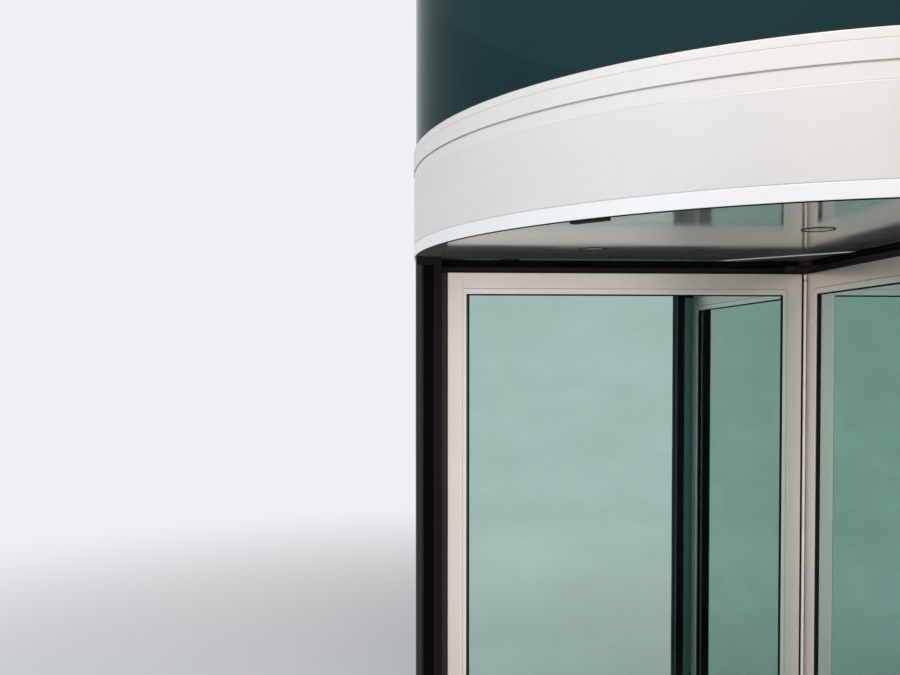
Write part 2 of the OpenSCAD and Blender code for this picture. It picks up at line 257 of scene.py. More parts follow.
def made_mesh(solid, name, materials=(), soften=SOFT):
    """Closes a bmesh into a mesh with outward faces and smooth rounded edges."""
    bmesh.ops.recalc_face_normals(solid, faces=solid.faces)
    mesh = bpy.data.meshes.new(name)
    solid.to_mesh(mesh)
    solid.free()
    for material in materials:
        mesh.materials.append(material)
    smooth(mesh, soften)
    return mesh


def merged(name, parts):
    """Several pieces of one finish as one piece."""
    solid = bmesh.new()
    material = parts[0].data.materials[0]
    for part in parts:
        solid.from_mesh(part.data)
        bpy.data.objects.remove(part)
    return show(name, made_mesh(solid, name, [material]))


def place(piece, body, slot, *nodes):
    """Gives a finished piece its body and the CAD nodes that it stands for. The slot is not used."""
    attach(piece, body)
    if nodes:
        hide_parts(*nodes)


def finished(solid, name, keys, body, slot, *nodes, soften=SOFT):
    """Makes a bmesh a piece with its finishes, its body and the CAD nodes that it stands for. The slot is not
    used.
    """
    mesh = made_mesh(solid, name, [finish_of(key) for key in keys], soften)
    place(show(name, mesh), body, slot, *nodes)


# Node trees as expressions

class Tree:
    """A node tree that is filled by expressions."""

    def __init__(self, tree):
        self.tree = tree

    def add(self, kind, settings=None, sockets=None, out=0):
        """A node of a kind: its settings first, then the values or links of its sockets."""
        node = self.tree.nodes.new(kind)
        for key, value in (settings or {}).items():
            setattr(node, key, value)
        for key, value in (sockets or {}).items():
            self.feed(node.inputs[key], value)
        return Term(self, node, node.outputs[out] if len(node.outputs) else None)

    def feed(self, socket, value):
        if isinstance(value, Term):
            self.tree.links.new(value.socket, socket)
        elif value is not None:
            socket.default_value = value

    def math(self, operation, *values, clamp=False):
        settings = {"operation": operation, "use_clamp": clamp}
        return self.add("ShaderNodeMath", settings, dict(enumerate(values)))

    def join(self, x=0.0, y=0.0, z=0.0):
        return self.add("ShaderNodeCombineXYZ", None, {"X": x, "Y": y, "Z": z})

    def split(self, vector):
        return self.add("ShaderNodeSeparateXYZ", None, {0: vector})


class Term:
    """One output of a node, used in sums and products."""

    def __init__(self, owner, node, socket):
        self.owner, self.node, self.socket = owner, node, socket

    def __getitem__(self, key):
        return Term(self.owner, self.node, self.node.outputs[key])

    def __add__(self, other):
        return self.owner.math("ADD", self, other)

    def __radd__(self, other):
        return self.owner.math("ADD", other, self)

    def __sub__(self, other):
        return self.owner.math("SUBTRACT", self, other)

    def __rsub__(self, other):
        return self.owner.math("SUBTRACT", other, self)

    def __mul__(self, other):
        return self.owner.math("MULTIPLY", self, other)

    def __rmul__(self, other):
        return self.owner.math("MULTIPLY", other, self)

    def __truediv__(self, other):
        return self.owner.math("DIVIDE", self, other)

    def __rtruediv__(self, other):
        return self.owner.math("DIVIDE", other, self)

    def ramp(self, low, high, to_low=0.0, to_high=1.0):
        """Smooth step from low to high."""
        sockets = {"Value": self, "From Min": low, "From Max": high, "To Min": to_low, "To Max": to_high}
        return self.owner.add("ShaderNodeMapRange", {"interpolation_type": "SMOOTHSTEP"}, sockets)


class Finish(Tree):
    """A procedural material on one Principled shader. Patterns are in metres on the piece."""

    def __init__(self, name, **constants):
        self.material = bpy.data.materials.new(name)
        self.material.use_nodes = True
        super().__init__(self.material.node_tree)
        self.tree.nodes.clear()
        self.shader = self.tree.nodes.new("ShaderNodeBsdfPrincipled")
        self.output = self.tree.nodes.new("ShaderNodeOutputMaterial")
        self.tree.links.new(self.shader.outputs[0], self.output.inputs["Surface"])
        self.place = self.add("ShaderNodeTexCoord")["Object"]
        for key, value in constants.items():
            self.shader.inputs[key.replace("_", " ")].default_value = value

    def noise(self, scale, stretch=(1, 1, 1), detail=3.0, roughness=0.5, shift=(0, 0, 0)):
        sockets = {"Vector": self.place, "Scale": stretch, "Location": shift}
        mapped = self.add("ShaderNodeMapping", None, sockets)
        sockets = {"Vector": mapped, "Scale": scale, "Detail": detail, "Roughness": roughness}
        return self.add("ShaderNodeTexNoise", None, sockets)

    def mix(self, mask, low, high):
        """Blend of two colours, each three numbers or a link."""
        low, high = (c if isinstance(c, Term) else (*c, 1.0) for c in (low, high))
        settings = {"data_type": "RGBA", "blend_type": "MIX", "clamp_factor": True}
        return self.add("ShaderNodeMix", settings, {0: mask, 6: low, 7: high}, out=2)

    def paint(self, colour, roughness, metallic=None, height=None, strength=0.3, distance=MM):
        """Feeds the shader. Height is bump, with distance in metres."""
        for label, value in (("Base Color", colour), ("Roughness", roughness), ("Metallic", metallic)):
            self.feed(self.shader.inputs[label], value)
        if height is not None:
            sockets = {"Height": height, "Strength": strength, "Distance": distance}
            self.feed(self.shader.inputs["Normal"], self.add("ShaderNodeBump", None, sockets))
        return self.material


def looks():
    return bpy.context.scene.door_finishes


def sizes():
    return bpy.context.scene.door_sizes


def shade(colour, amount):
    return tuple(max(0.0, min(1.0, c * amount)) for c in colour)


def tone_of(colour):
    """A colour as numbers, or by its name in the settings."""
    return tuple(getattr(looks(), colour)) if isinstance(colour, str) else colour


# Finishes

def sheet_finish(name, colour, grain, metallic=0.55, rough=0.36):
    """Satin sheet or profile, with a fine rolled grain, faint clouding and streaks."""
    f = Finish(name, Metallic=metallic)
    cloud = f.noise(1.7, detail=4.0)
    streak = f.noise(1.0, (26, 26, 1.3), detail=3.0)
    fine = f.noise(1.0, grain, detail=2.0)
    tone = tone_of(colour)
    base = f.mix(cloud.ramp(0.35, 0.68), shade(tone, 0.955), shade(tone, 1.02))
    base = f.mix(streak.ramp(0.55, 0.8) * 0.25, base, shade(tone, 0.86))
    base = f.mix(fine.ramp(0.3, 0.7) * 0.22, base, shade(tone, 0.9))
    rough = rough + cloud * 0.1 + fine * 0.09
    return f.paint(base, rough, height=fine, strength=0.08, distance=0.2 * MM)


def dark_finish(name, colour, level, rough):
    """Dark coated profile: a fine orange peel, worn lighter patches and pale dust low down."""
    f = Finish(name, Specular_IOR_Level=level)
    peel = f.noise(900, detail=2.0)
    cloud = f.noise(2.6, (1, 1, 0.35), detail=5.0)
    speck = f.noise(420, detail=2.0)
    height = f.split(f.place)["Z"]
    dust = (1.0 - height.ramp(0.02, 0.34)) * cloud.ramp(0.35, 0.75) * 0.16
    tone = tone_of(colour)
    base = f.mix(cloud.ramp(0.3, 0.7), shade(tone, 0.85), shade(tone, 1.25))
    base = f.mix(speck.ramp(0.62, 0.75) * 0.3, base, shade(tone, 2.0))
    base = f.mix(dust, base, (0.30, 0.28, 0.25))
    rough = rough + cloud * 0.12 + dust * 0.8
    return f.paint(base, rough, height=peel, strength=0.10, distance=0.3 * MM)


def rubber_finish():
    f = Finish("black_rubber", Specular_IOR_Level=0.25)
    grain = f.noise(650, detail=3.0)
    chalk = f.noise(9, detail=4.0)
    base = f.mix(chalk.ramp(0.5, 0.8) * 0.5, (0.006, 0.006, 0.007), (0.024, 0.024, 0.024))
    return f.paint(base, 0.62 + grain * 0.2, height=grain, strength=0.25, distance=0.3 * MM)


def steel_finish(name, turned):
    """Stainless steel, brushed along or turned on a lathe."""
    f = Finish(name, Metallic=1.0, Anisotropic=0.3)
    if turned:
        x, y = (f.split(f.place)[key] for key in "XY")
        rings = f.math("SQRT", x * x + y * y) * 1100
        line = f.add("ShaderNodeTexNoise", None, {"Vector": f.join(rings), "Scale": 1.0, "Detail": 2.0})
    else:
        line = f.noise(1.0, (4, 4, 1600), detail=2.0)
    cloud = f.noise(7, detail=5.0)
    smear = f.noise(2.3, detail=4.0, shift=(4, 1, 2))
    tone = tone_of("steel")
    base = f.mix(cloud.ramp(0.3, 0.7), shade(tone, 0.88), shade(tone, 1.06))
    base = f.mix(line.ramp(0.35, 0.7) * 0.5, base, shade(tone, 0.72))
    rough = 0.24 + line * 0.16 + smear.ramp(0.45, 0.75) * 0.12
    return f.paint(base, rough, height=line, strength=0.12, distance=0.2 * MM)


def polished_finish(name, colour, metallic):
    """Bright polished metal with hairline scratches."""
    f = Finish(name, Metallic=metallic)
    scratch = f.noise(1.0, (60, 60, 1500), detail=3.0)
    cloud = f.noise(11, detail=4.0)
    tone = tone_of(colour)
    base = f.mix(cloud.ramp(0.35, 0.7), shade(tone, 0.93), shade(tone, 1.04))
    rough = 0.14 + cloud * 0.08 + scratch.ramp(0.55, 0.8) * 0.12
    return f.paint(base, rough, height=scratch, strength=0.06, distance=0.2 * MM)


def ceiling_finish():
    """Polished ceiling sheet that mirrors the wings, with faint haze, fine scratches and slight waves."""
    f = Finish("polished_ceiling_sheet", Metallic=0.71, Specular_IOR_Level=0.2)
    wave = f.noise(1.3, detail=1.0)
    haze = f.noise(3.1, detail=5.0)
    scratch = f.noise(1.0, (1300, 9, 9), detail=2.0)
    tone = tone_of("ceiling")
    base = f.mix(haze.ramp(0.3, 0.75), shade(tone, 0.94), shade(tone, 1.03))
    rough = 0.07 + haze.ramp(0.4, 0.8) * 0.07 + scratch.ramp(0.6, 0.8) * 0.05
    return f.paint(base, rough, height=wave, strength=0.07, distance=3 * MM)


def glass_finish(name, colour, mirror, clear, ior):
    """Tinted glass that mirrors part of the light, with dust low down and faint wiping marks."""
    f = Finish(name, Transmission_Weight=clear, IOR=ior)
    wave = f.noise(2.2, detail=1.0)
    wipe = f.noise(1.0, (2.4, 2.4, 5.5), detail=6.0, roughness=0.62)
    dust = f.noise(160, detail=3.0)
    low = 1.0 - f.split(f.place)["Z"].ramp(0.1, 0.75)
    tone = tone_of(colour)
    base = f.mix(wipe.ramp(0.3, 0.75), shade(tone, 0.95), shade(tone, 1.05))
    base = f.mix(low * dust.ramp(0.5, 0.8) * 0.10, base, (0.42, 0.44, 0.42))
    rough = 0.008 + wipe.ramp(0.5, 0.85) * 0.035 + low * 0.03
    return f.paint(base, rough, mirror - low * 0.04, height=wave, strength=0.05, distance=4 * MM)


def lens_finish():
    f = Finish("mirror_lens", Metallic=0.9)
    grain = f.noise(700, detail=2.0)
    cloud = f.noise(30, detail=3.0)
    base = f.mix(cloud.ramp(0.3, 0.7), (0.40, 0.39, 0.37), (0.46, 0.45, 0.43))
    return f.paint(base, 0.10 + grain * 0.06, height=grain, strength=0.05, distance=0.2 * MM)


def bar_finish():
    """Aluminium mat bar, worn bright along its ribs and dull between them."""
    f = Finish("mat_bar_aluminium", Metallic=0.85)
    rib = f.math("SINE", f.split(f.place)["Y"] * 3300)
    line = f.noise(1.0, (9, 900, 900), detail=2.0)
    dirt = f.noise(6, detail=6.0, roughness=0.6)
    tone = tone_of("mat_bar")
    base = f.mix(rib.ramp(-0.4, 0.9), shade(tone, 0.62), shade(tone, 1.08))
    base = f.mix(dirt.ramp(0.45, 0.75) * 0.45, base, (0.10, 0.092, 0.083))
    rough = 0.34 + dirt * 0.28 + line * 0.08
    return f.paint(base, rough, height=rib * 0.6 + line * 0.4, strength=0.3, distance=0.4 * MM)


def carpet_finish():
    f = Finish("mat_carpet_strip", Specular_IOR_Level=0.1, Sheen_Weight=0.25)
    pile = f.noise(520, detail=4.0, roughness=0.7)
    tuft = f.add("ShaderNodeTexVoronoi", None, {"Vector": f.place, "Scale": 260.0})
    dirt = f.noise(5, detail=5.0)
    base = f.mix(pile.ramp(0.3, 0.75), (0.010, 0.010, 0.011), (0.040, 0.040, 0.042))
    base = f.mix(dirt.ramp(0.5, 0.8) * 0.4, base, (0.085, 0.078, 0.070))
    height = pile * 0.6 + tuft["Distance"] * 0.6
    return f.paint(base, 0.92, height=height, strength=0.8, distance=2 * MM)


def plastic_finish():
    f = Finish("black_sensor_plastic", Specular_IOR_Level=0.15)
    grain = f.noise(1100, detail=2.0)
    smear = f.noise(16, detail=4.0)
    base = f.mix(smear.ramp(0.35, 0.75), (0.003, 0.003, 0.0035), (0.008, 0.008, 0.009))
    return f.paint(base, 0.42 + smear * 0.14, height=grain, strength=0.15, distance=0.2 * MM)


def bristle_finish():
    f = Finish("nylon_bristles", Specular_IOR_Level=0.04)
    strand = f.noise(1.0, (1500, 1500, 30), detail=2.0)
    clump = f.noise(70, detail=3.0)
    base = f.mix(clump.ramp(0.35, 0.7), (0.0025, 0.0024, 0.0024), (0.009, 0.0085, 0.008))
    base = f.mix(strand.ramp(0.6, 0.8) * 0.3, base, (0.024, 0.022, 0.021))
    return f.paint(base, 0.7, height=strand, strength=0.4, distance=0.6 * MM)


def roof_finish():
    """Dark roofing sheet with settled dust and old puddle rims."""
    f = Finish("dark_roof_sheet", Specular_IOR_Level=0.3)
    cloud = f.noise(2.1, detail=6.0, roughness=0.6)
    grain = f.noise(380, detail=3.0)
    pool = f.noise(1.1, detail=2.0, shift=(3, 7, 0))
    rim = pool.ramp(0.52, 0.55) * (1.0 - pool.ramp(0.55, 0.60))
    base = f.mix(cloud.ramp(0.3, 0.72), (0.040, 0.042, 0.045), (0.085, 0.086, 0.086))
    base = f.mix(rim * 0.14, base, (0.19, 0.18, 0.165))
    height = grain * 0.7 + cloud * 0.3
    return f.paint(base, 0.58 + cloud * 0.2, height=height, strength=0.25, distance=0.8 * MM)


ROLLED = (5, 5, 1400)
PROFILE = (0.78, 0.22)

FINISHES = {
    "canopy": (sheet_finish, "satin_canopy_sheet", "canopy", ROLLED),
    "canopy_trim": (sheet_finish, "satin_canopy_trim", "canopy_trim", ROLLED),
    # Lower band: a lighter copy of the canopy sheet colour, painted light for the ground light that the band
    # catches.
    "band": (sheet_finish, "satin_canopy_band", "canopy_band", ROLLED),
    "rail": (sheet_finish, "satin_wing_rail", "wing", (6, 6, 1500), *PROFILE),
    "stile": (sheet_finish, "satin_wing_stile", "wing", (1500, 1500, 5), *PROFILE),
    # Glazing beads: a lighter copy of the wing frame colour, a painted highlight on the beads.
    "bead": (sheet_finish, "satin_glazing_bead", "wing_bead", (700, 700, 40), *PROFILE),
    "bronze": (dark_finish, "dark_bronze_coat", "bronze", 0.12, 0.30),
    "nose": (dark_finish, "post_nose_coat", "bronze", 0.45, 0.20),
    # Top holders: much darker than the side strips, partly painted shade under the ceiling.
    "holder": (dark_finish, "grey_brown_holder", "holder", 0.2, 0.38),
    "strip": (dark_finish, "grey_side_strip", "strip", 0.25, 0.36),
    "hub": (dark_finish, "matt_brown_hub", "hub", 0.0, 0.62),
    "black": (dark_finish, "black_steel_coat", (0.0022, 0.0022, 0.0024), 0.02, 0.6),
    "rubber": (rubber_finish,),
    "steel": (steel_finish, "brushed_stainless", False),
    "turned_steel": (steel_finish, "turned_stainless", True),
    "trim": (polished_finish, "bright_trim", "trim", 0.9),
    # Corner rods: near-white base with low metallic, a painted highlight for the bright reflection of the
    # polished rods.
    "rod": (polished_finish, "polished_bead_rod", "rod", 0.4),
    "ceiling": (ceiling_finish,),
    "wing_glass": (glass_finish, "green_mirror_glass", "wing_glass", 0.78, 1.0, 1.45),
    "wall_glass": (glass_finish, "dark_wall_glass", "wall_glass", 0.25, 0.9, 1.45),
    "upper_glass": (glass_finish, "dark_teal_glass", "upper_glass", 0.04, 0.4, 1.06),
    "lens": (lens_finish,),
    "mat_bar": (bar_finish,),
    "carpet": (carpet_finish,),
    "plastic": (plastic_finish,),
    "bristle": (bristle_finish,),
    "roof": (roof_finish,),
}


@cache
def finish_of(key):
    """The material for a finish, made once."""
    make, *values = FINISHES[key]
    return make(*values)


def refinish(key, *nodes):
    """A CAD node that keeps its shape gets a procedural material."""
    for node in nodes:
        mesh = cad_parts[node].data
        if not mesh.materials:
            mesh.materials.append(None)
        for i in range(len(mesh.materials)):
            mesh.materials[i] = finish_of(key)


# Geometry Nodes

FLOAT, INT, BOOL = "NodeSocketFloat", "NodeSocketInt", "NodeSocketBool"
SHAPE, COAT, THING = "NodeSocketGeometry", "NodeSocketMaterial", "NodeSocketObject"


def new_tree(name, inputs):
    """A Geometry Nodes group with named inputs. Returns the tree and its inputs as terms."""
    group = bpy.data.node_groups.new(name, "GeometryNodeTree")
    group.interface.new_socket(name="Geometry", in_out="INPUT", socket_type=SHAPE)
    for label, kind in inputs.items():
        group.interface.new_socket(name=label, in_out="INPUT", socket_type=kind)
    group.interface.new_socket(name="Geometry", in_out="OUTPUT", socket_type=SHAPE)
    tree = Tree(group)
    return tree, tree.add("NodeGroupInput")


def end_tree(tree, geometry, material):
    """Ends a tree in real geometry with its material."""
    real = tree.add("GeometryNodeRealizeInstances", None, {"Geometry": geometry})
    coated = tree.add("GeometryNodeSetMaterial", None, {"Geometry": real, "Material": material})
    tree.add("NodeGroupOutput", None, {"Geometry": coated})
    return tree.tree


def grown(name, group, host, values, mend=True):
    """Runs a tree on a host mesh and keeps the result as a plain mesh."""
    piece = show(name, host)
    modifier = piece.modifiers.new("grow", "NODES")
    modifier.node_group = group
    for item in group.interface.items_tree:
        if item.in_out == "INPUT" and item.name in values:
            modifier[item.identifier] = values[item.name]
    bpy.context.view_layer.update()
    graph = bpy.context.evaluated_depsgraph_get()
    mesh = bpy.data.meshes.new_from_object(piece.evaluated_get(graph))
    piece.modifiers.clear()
    piece.data = mesh
    mesh.name = name
    if mend:
        solid = bmesh.new()
        solid.from_mesh(mesh)
        bmesh.ops.remove_doubles(solid, verts=solid.verts, dist=TINY)
        bmesh.ops.recalc_face_normals(solid, faces=solid.faces)
        solid.to_mesh(mesh)
        solid.free()
    smooth(mesh)
    if not len(mesh.polygons):
        raise RuntimeError(f"{name} came out empty")
    return piece


def dots(tree, count):
    """As many points as count, all on the axis."""
    return tree.add("GeometryNodeMeshLine", None, {"Count": count, "Offset": (0, 0, 0)})


def instances(tree, points, shape, **sockets):
    """A shape on every point, with its rotation or scale."""
    return tree.add("GeometryNodeInstanceOnPoints", None, {"Points": points, "Instance": shape, **sockets})


@cache
def sweep_tree():
    """Draws a section round the drum's axis, as a whole ring or as equal pieces of one."""
    tree, given = new_tree("ring_sweep", {
        "Radius": FLOAT, "Start": FLOAT, "Sweep": FLOAT, "Steps": INT, "Whole": BOOL, "Copies": INT,
        "Material": COAT})
    section = tree.add("GeometryNodeMeshToCurve", None, {"Mesh": given["Geometry"]})
    steps = {"Resolution": given["Steps"], "Radius": given["Radius"]}
    angles = {"Start Angle": given["Start"], "Sweep Angle": given["Sweep"]}
    arc = tree.add("GeometryNodeCurveArc", {"mode": "RADIUS"}, {**steps, **angles})
    ring = tree.add("GeometryNodeCurvePrimitiveCircle", None, steps)
    choice = {"Switch": given["Whole"], "False": arc, "True": ring}
    path = tree.add("GeometryNodeSwitch", {"input_type": "GEOMETRY"}, choice)
    path = tree.add("GeometryNodeSetCurveNormal", {"mode": "Z_UP"}, {"Curve": path})
    sockets = {"Curve": path, "Profile Curve": section, "Fill Caps": True}
    body = tree.add("GeometryNodeCurveToMesh", None, sockets)
    angle = tree.add("GeometryNodeInputIndex") * math.tau / given["Copies"]
    turn = tree.add("FunctionNodeEulerToRotation", None, {0: tree.join(z=angle)})
    copies = instances(tree, dots(tree, given["Copies"]), body, Rotation=turn)
    return end_tree(tree, copies, given["Material"])


def swept(name, section, key, start=None, sweep=360.0, copies=1, turn_steps=None):
    """A section of (radius, height) points drawn round the axis. Start and sweep are in degrees."""
    whole = start is None
    middle = sum(r for r, z in section) / len(section)
    host = bpy.data.meshes.new(name + "_section")
    count = len(section)
    flat = [(r - middle, -z, 0) for r, z in section]
    host.from_pydata(flat, [(i, (i + 1) % count) for i in range(count)], [])
    turn_steps = turn_steps or sizes().turn_steps
    steps = max(2, round(turn_steps * sweep / 360)) + (0 if whole else 1)
    values = {
        "Radius": float(middle), "Start": math.radians(start or 0.0), "Sweep": math.radians(sweep),
        "Steps": steps, "Whole": whole, "Copies": copies, "Material": finish_of(key)}
    return grown(name, sweep_tree(), host, values)


def turned(name, section, key):
    """A small round part on the axis."""
    return swept(name, rounded(section, 0), key, turn_steps=sizes().small_steps)


def quarters(name, section, key, slot, node):
    """Four equal pieces round the drum for the CAD nodes of that name. Returns the joint between them."""
    gap = 90 - span(node + "_right")[1]
    for side, degrees in PANES.items():
        piece = swept(f"{name}_{side}", section, key, degrees - 45 + gap / 2, 90 - gap)
        place(piece, DRUM, slot, f"{node}_{side}")
    return gap


@cache
def rows_tree():
    """Repeats a unit bar in rows across a round floor, each cut to the circle and round the middle."""
    tree, given = new_tree("rows_in_circle", {
        "Rows": INT, "First": FLOAT, "Pitch": FLOAT, "Half width": FLOAT, "Outer": FLOAT, "Inner": FLOAT,
        "Split": FLOAT, "Material": COAT})
    half, outer, bar = given["Half width"], given["Outer"], given["Geometry"]
    shortest = 20 * MM

    def most(value, least=0.0):
        return tree.math("MAXIMUM", value, least)

    across = given["First"] + tree.add("GeometryNodeInputIndex") * given["Pitch"]
    size = tree.math("ABSOLUTE", across)
    far = size + half
    near = most(size - half)
    end = tree.math("SQRT", most(outer * outer - far * far))
    start = tree.math("SQRT", most(given["Inner"] * given["Inner"] - near * near))
    start = most(start, given["Split"])
    place = {"Geometry": dots(tree, given["Rows"]), "Position": tree.join(start, across, 0.0)}
    spots = tree.add("GeometryNodeSetPosition", None, place)
    short = {"Geometry": spots, "Selection": tree.math("LESS_THAN", end - start, shortest)}
    spots = tree.add("GeometryNodeDeleteGeometry", {"domain": "POINT"}, short)
    spot = tree.split(tree.add("GeometryNodeInputPosition"))
    size = tree.math("ABSOLUTE", spot["Y"]) + half
    reach = tree.math("SQRT", most(outer * outer - size * size)) - spot["X"]
    right = instances(tree, spots, bar, Scale=tree.join(reach, 1.0, 1.0))
    left = instances(tree, spots, bar, Scale=tree.join(reach * -1.0, 1.0, 1.0))
    shift = tree.split(tree.add("GeometryNodeInputPosition"))["X"] * -2.0
    sockets = {"Instances": left, "Translation": tree.join(shift, 0.0, 0.0), "Local Space": False}
    left = tree.add("GeometryNodeTranslateInstances", None, sockets)
    both = tree.add("GeometryNodeJoinGeometry")
    for side in (right, left):
        tree.feed(both.node.inputs[0], side)
    return end_tree(tree, both, given["Material"])


def rows(name, outline, key, first, pitch, count, outer, inner, split):
    """Bars along X with an outline across Y, in rows that fill a circle."""
    solid = bmesh.new()
    add_bar(solid, outline, 0.0, 1.0, axis="X")
    values = {
        "Rows": count, "First": first, "Pitch": pitch, "Half width": max(abs(y) for y, z in outline),
        "Outer": outer, "Inner": inner, "Split": split, "Material": finish_of(key)}
    return grown(name, rows_tree(), made_mesh(solid, name + "_bar"), values)


def aimed(tree, turn):
    """A rotation from the host's lie attribute, with a turn of its own before it."""
    lie = tree.add("GeometryNodeInputNamedAttribute", {"data_type": "FLOAT_VECTOR"}, {"Name": "lie"})
    aim = tree.add("FunctionNodeAlignRotationToVector", {"axis": "Z"}, {"Vector": lie})
    turn = tree.add("FunctionNodeEulerToRotation", None, {0: turn})
    sockets = {"Rotation": aim, "Rotate By": turn}
    return tree.add("FunctionNodeRotateRotation", {"rotation_space": "LOCAL"}, sockets)


@cache
def bristle_tree():
    """Sets bristles along lines. Each line's lie attribute says which way its bristles point."""
    tree, given = new_tree("bristles_on_lines", {
        "Spacing": FLOAT, "Length": FLOAT, "Width": FLOAT, "Splay": FLOAT, "Seed": INT, "Material": COAT})
    line = tree.add("GeometryNodeMeshToCurve", None, {"Mesh": given["Geometry"]})
    sockets = {"Curve": line, "Length": given["Spacing"]}
    roots = tree.add("GeometryNodeCurveToPoints", {"mode": "LENGTH"}, sockets)
    sockets = {0: (-1, -1, -3), 1: (1, 1, 3), "Seed": given["Seed"]}
    lean = tree.add("FunctionNodeRandomValue", {"data_type": "FLOAT_VECTOR"}, sockets)
    lean = tree.add("ShaderNodeVectorMath", {"operation": "SCALE"}, {0: lean, "Scale": given["Splay"]})
    sockets = {2: 0.94, 3: 0.995, "Seed": given["Seed"] + 1}
    share = tree.add("FunctionNodeRandomValue", {"data_type": "FLOAT"}, sockets, out=1)
    width = given["Width"]
    hair = tree.add("GeometryNodeMeshCone", {"fill_type": "NGON"}, {
        "Vertices": 4, "Side Segments": 1, "Radius Top": width * 0.3, "Radius Bottom": width * 0.5,
        "Depth": given["Length"]})
    brush = instances(tree, roots, hair, Rotation=aimed(tree, lean), Scale=tree.join(1.0, 1.0, share))
    return end_tree(tree, brush, given["Material"])


@cache
def fixing_tree():
    """Puts a fixing on every point of the host, each turned by its own amount about its lie attribute."""
    inputs = {"Fixing": THING, "Size": FLOAT, "Seed": INT, "Material": COAT}
    tree, given = new_tree("fixings_on_points", inputs)
    sockets = {2: 0.0, 3: math.tau, "Seed": given["Seed"]}
    spin = tree.add("FunctionNodeRandomValue", {"data_type": "FLOAT"}, sockets, out=1)
    shape = tree.add("GeometryNodeObjectInfo", None, {"Object": given["Fixing"]})["Geometry"]
    size = tree.join(given["Size"], given["Size"], given["Size"])
    aim = aimed(tree, tree.join(z=spin))
    heads = instances(tree, given["Geometry"], shape, Rotation=aim, Scale=size)
    return end_tree(tree, heads, given["Material"])


def lined_mesh(name, rows_of_points, lies):
    """A host of separate lines or points, with the direction of each as its lie attribute."""
    places, edges, ways = [], [], []
    for points, lie in zip(rows_of_points, lies):
        first = len(places)
        places += [tuple(p) for p in points]
        edges += [(first + i, first + i + 1) for i in range(len(points) - 1)]
        ways += [tuple(lie)] * len(points)
    host = bpy.data.meshes.new(name)
    host.from_pydata(places, edges, [])
    attribute = host.attributes.new("lie", "FLOAT_VECTOR", "POINT")
    attribute.data.foreach_set("vector", [c for way in ways for c in way])
    return host


def bristles(name, lines, lies, length, spacing, splay, seed):
    """Bristles along lines, as a piece of the brush seals."""
    values = {
        "Spacing": spacing, "Length": length, "Width": sizes().bristle_w, "Splay": splay, "Seed": seed,
        "Material": finish_of("bristle")}
    host = lined_mesh(name + "_lines", lines, lies)
    place(grown(name, bristle_tree(), host, values, mend=False), ROTOR, "brush_seal")


def screws(name, points, way, diameter, key, slot, seed):
    """Low round heads with a six-sided socket, one on each point, that face one way."""
    solid = bmesh.new()
    angles = round_steps(12)
    ring = [(math.cos(a), math.sin(a)) for a in angles]
    socket_r = 0.48
    socket = []
    for a, (x, y) in zip(angles, ring):
        reach = socket_r * math.cos(math.pi / 6) / math.cos((a % (math.pi / 3)) - math.pi / 6)
        socket.append((reach * x, reach * y))
    levels = [(0.5, -0.02, ring), (0.5, 0.14, ring), (0.43, 0.20, ring)]
    levels += [(0.5, 0.20, socket), (0.5, 0.05, socket)]
    add_rings(solid, [[Vector((x * r, y * r, z)) for x, y in loop] for r, z, loop in levels])
    head = show(name + "_head", made_mesh(solid, name + "_head"))
    values = {"Fixing": head, "Size": diameter, "Seed": seed, "Material": finish_of(key)}
    host = lined_mesh(name + "_points", [[p] for p in points], [way] * len(points))
    piece = grown(name, fixing_tree(), host, values, mend=False)
    bpy.data.objects.remove(head)
    place(piece, DRUM, slot)


# Settings

def facets(label, description, default, low, high):
    return IntProperty(name=label, description=description, default=default, min=low, max=high)


def length(label, description, default):
    return FloatProperty(name=label, description=description, default=default, unit="LENGTH")


def power(label, description, default):
    return FloatProperty(name=label, description=description, default=default, unit="POWER")


def angle(label, description, degrees):
    return FloatProperty(name=label, description=description, default=math.radians(degrees), unit="ROTATION")


def number(label, description, default):
    return FloatProperty(name=label, description=description, default=default)


def tone(label, default):
    return FloatVectorProperty(name=label, description="Colour of the " + label.lower(), default=default,
                               subtype="COLOR", size=3, min=0.0, max=1.0)


class DoorSizes(bpy.types.PropertyGroup):
    """Sizes that the frame leaves open."""

    turn_steps: facets("Steps per turn", "Facets round the drum", 480, 90, 1440)
    small_steps: facets("Steps per small turn", "Facets round the hub, bearings and downlights", 144, 24, 720)
    sheet_edge: length("Sheet edge", "Rounding of the canopy's sheet edges", 0.0009)
    profile_edge: length("Profile edge", "Rounding of the frames' edges", 0.0010)
    bead_gap: length("Bead joint", "Shadow line beside the glazing beads", 0.0005)
    gasket_w: length("Gasket width", "Black gasket seen beside the beads", 0.0045)
    corner_r: length("Corner bead", "Radius of the corner beads", 0.007)
    corner_proud: length("Corner bead reach", "How far the beads stand past the packed rods", 0.0015)
    knob_h: length("Bead cap", "Height of the caps on the corner beads", 0.019)
    brush_clear: length("Brush clearance", "Gap between bristle tips and what they pass", 0.0006)
    trim_proud: length("Trim depth", "How far trims and lamp rims stand below the ceiling", 0.0018)
    mat_pitch: length("Mat pitch", "Distance between mat bars", 0.036)
    mat_bar_w: length("Mat bar", "Width of a mat bar", 0.019)
    bristle_w: length("Bristle width", "Thickness of one tuft of bristles", 0.0017)
    bristle_gap: length("Bristle spacing", "Distance between tufts", 0.0020)
    seam_pitch: length("Roof seams", "Distance between the roof's seams", 0.38)
    floor_joint: length("Floor joint", "Gap between plates of the floor ring", 0.0015)


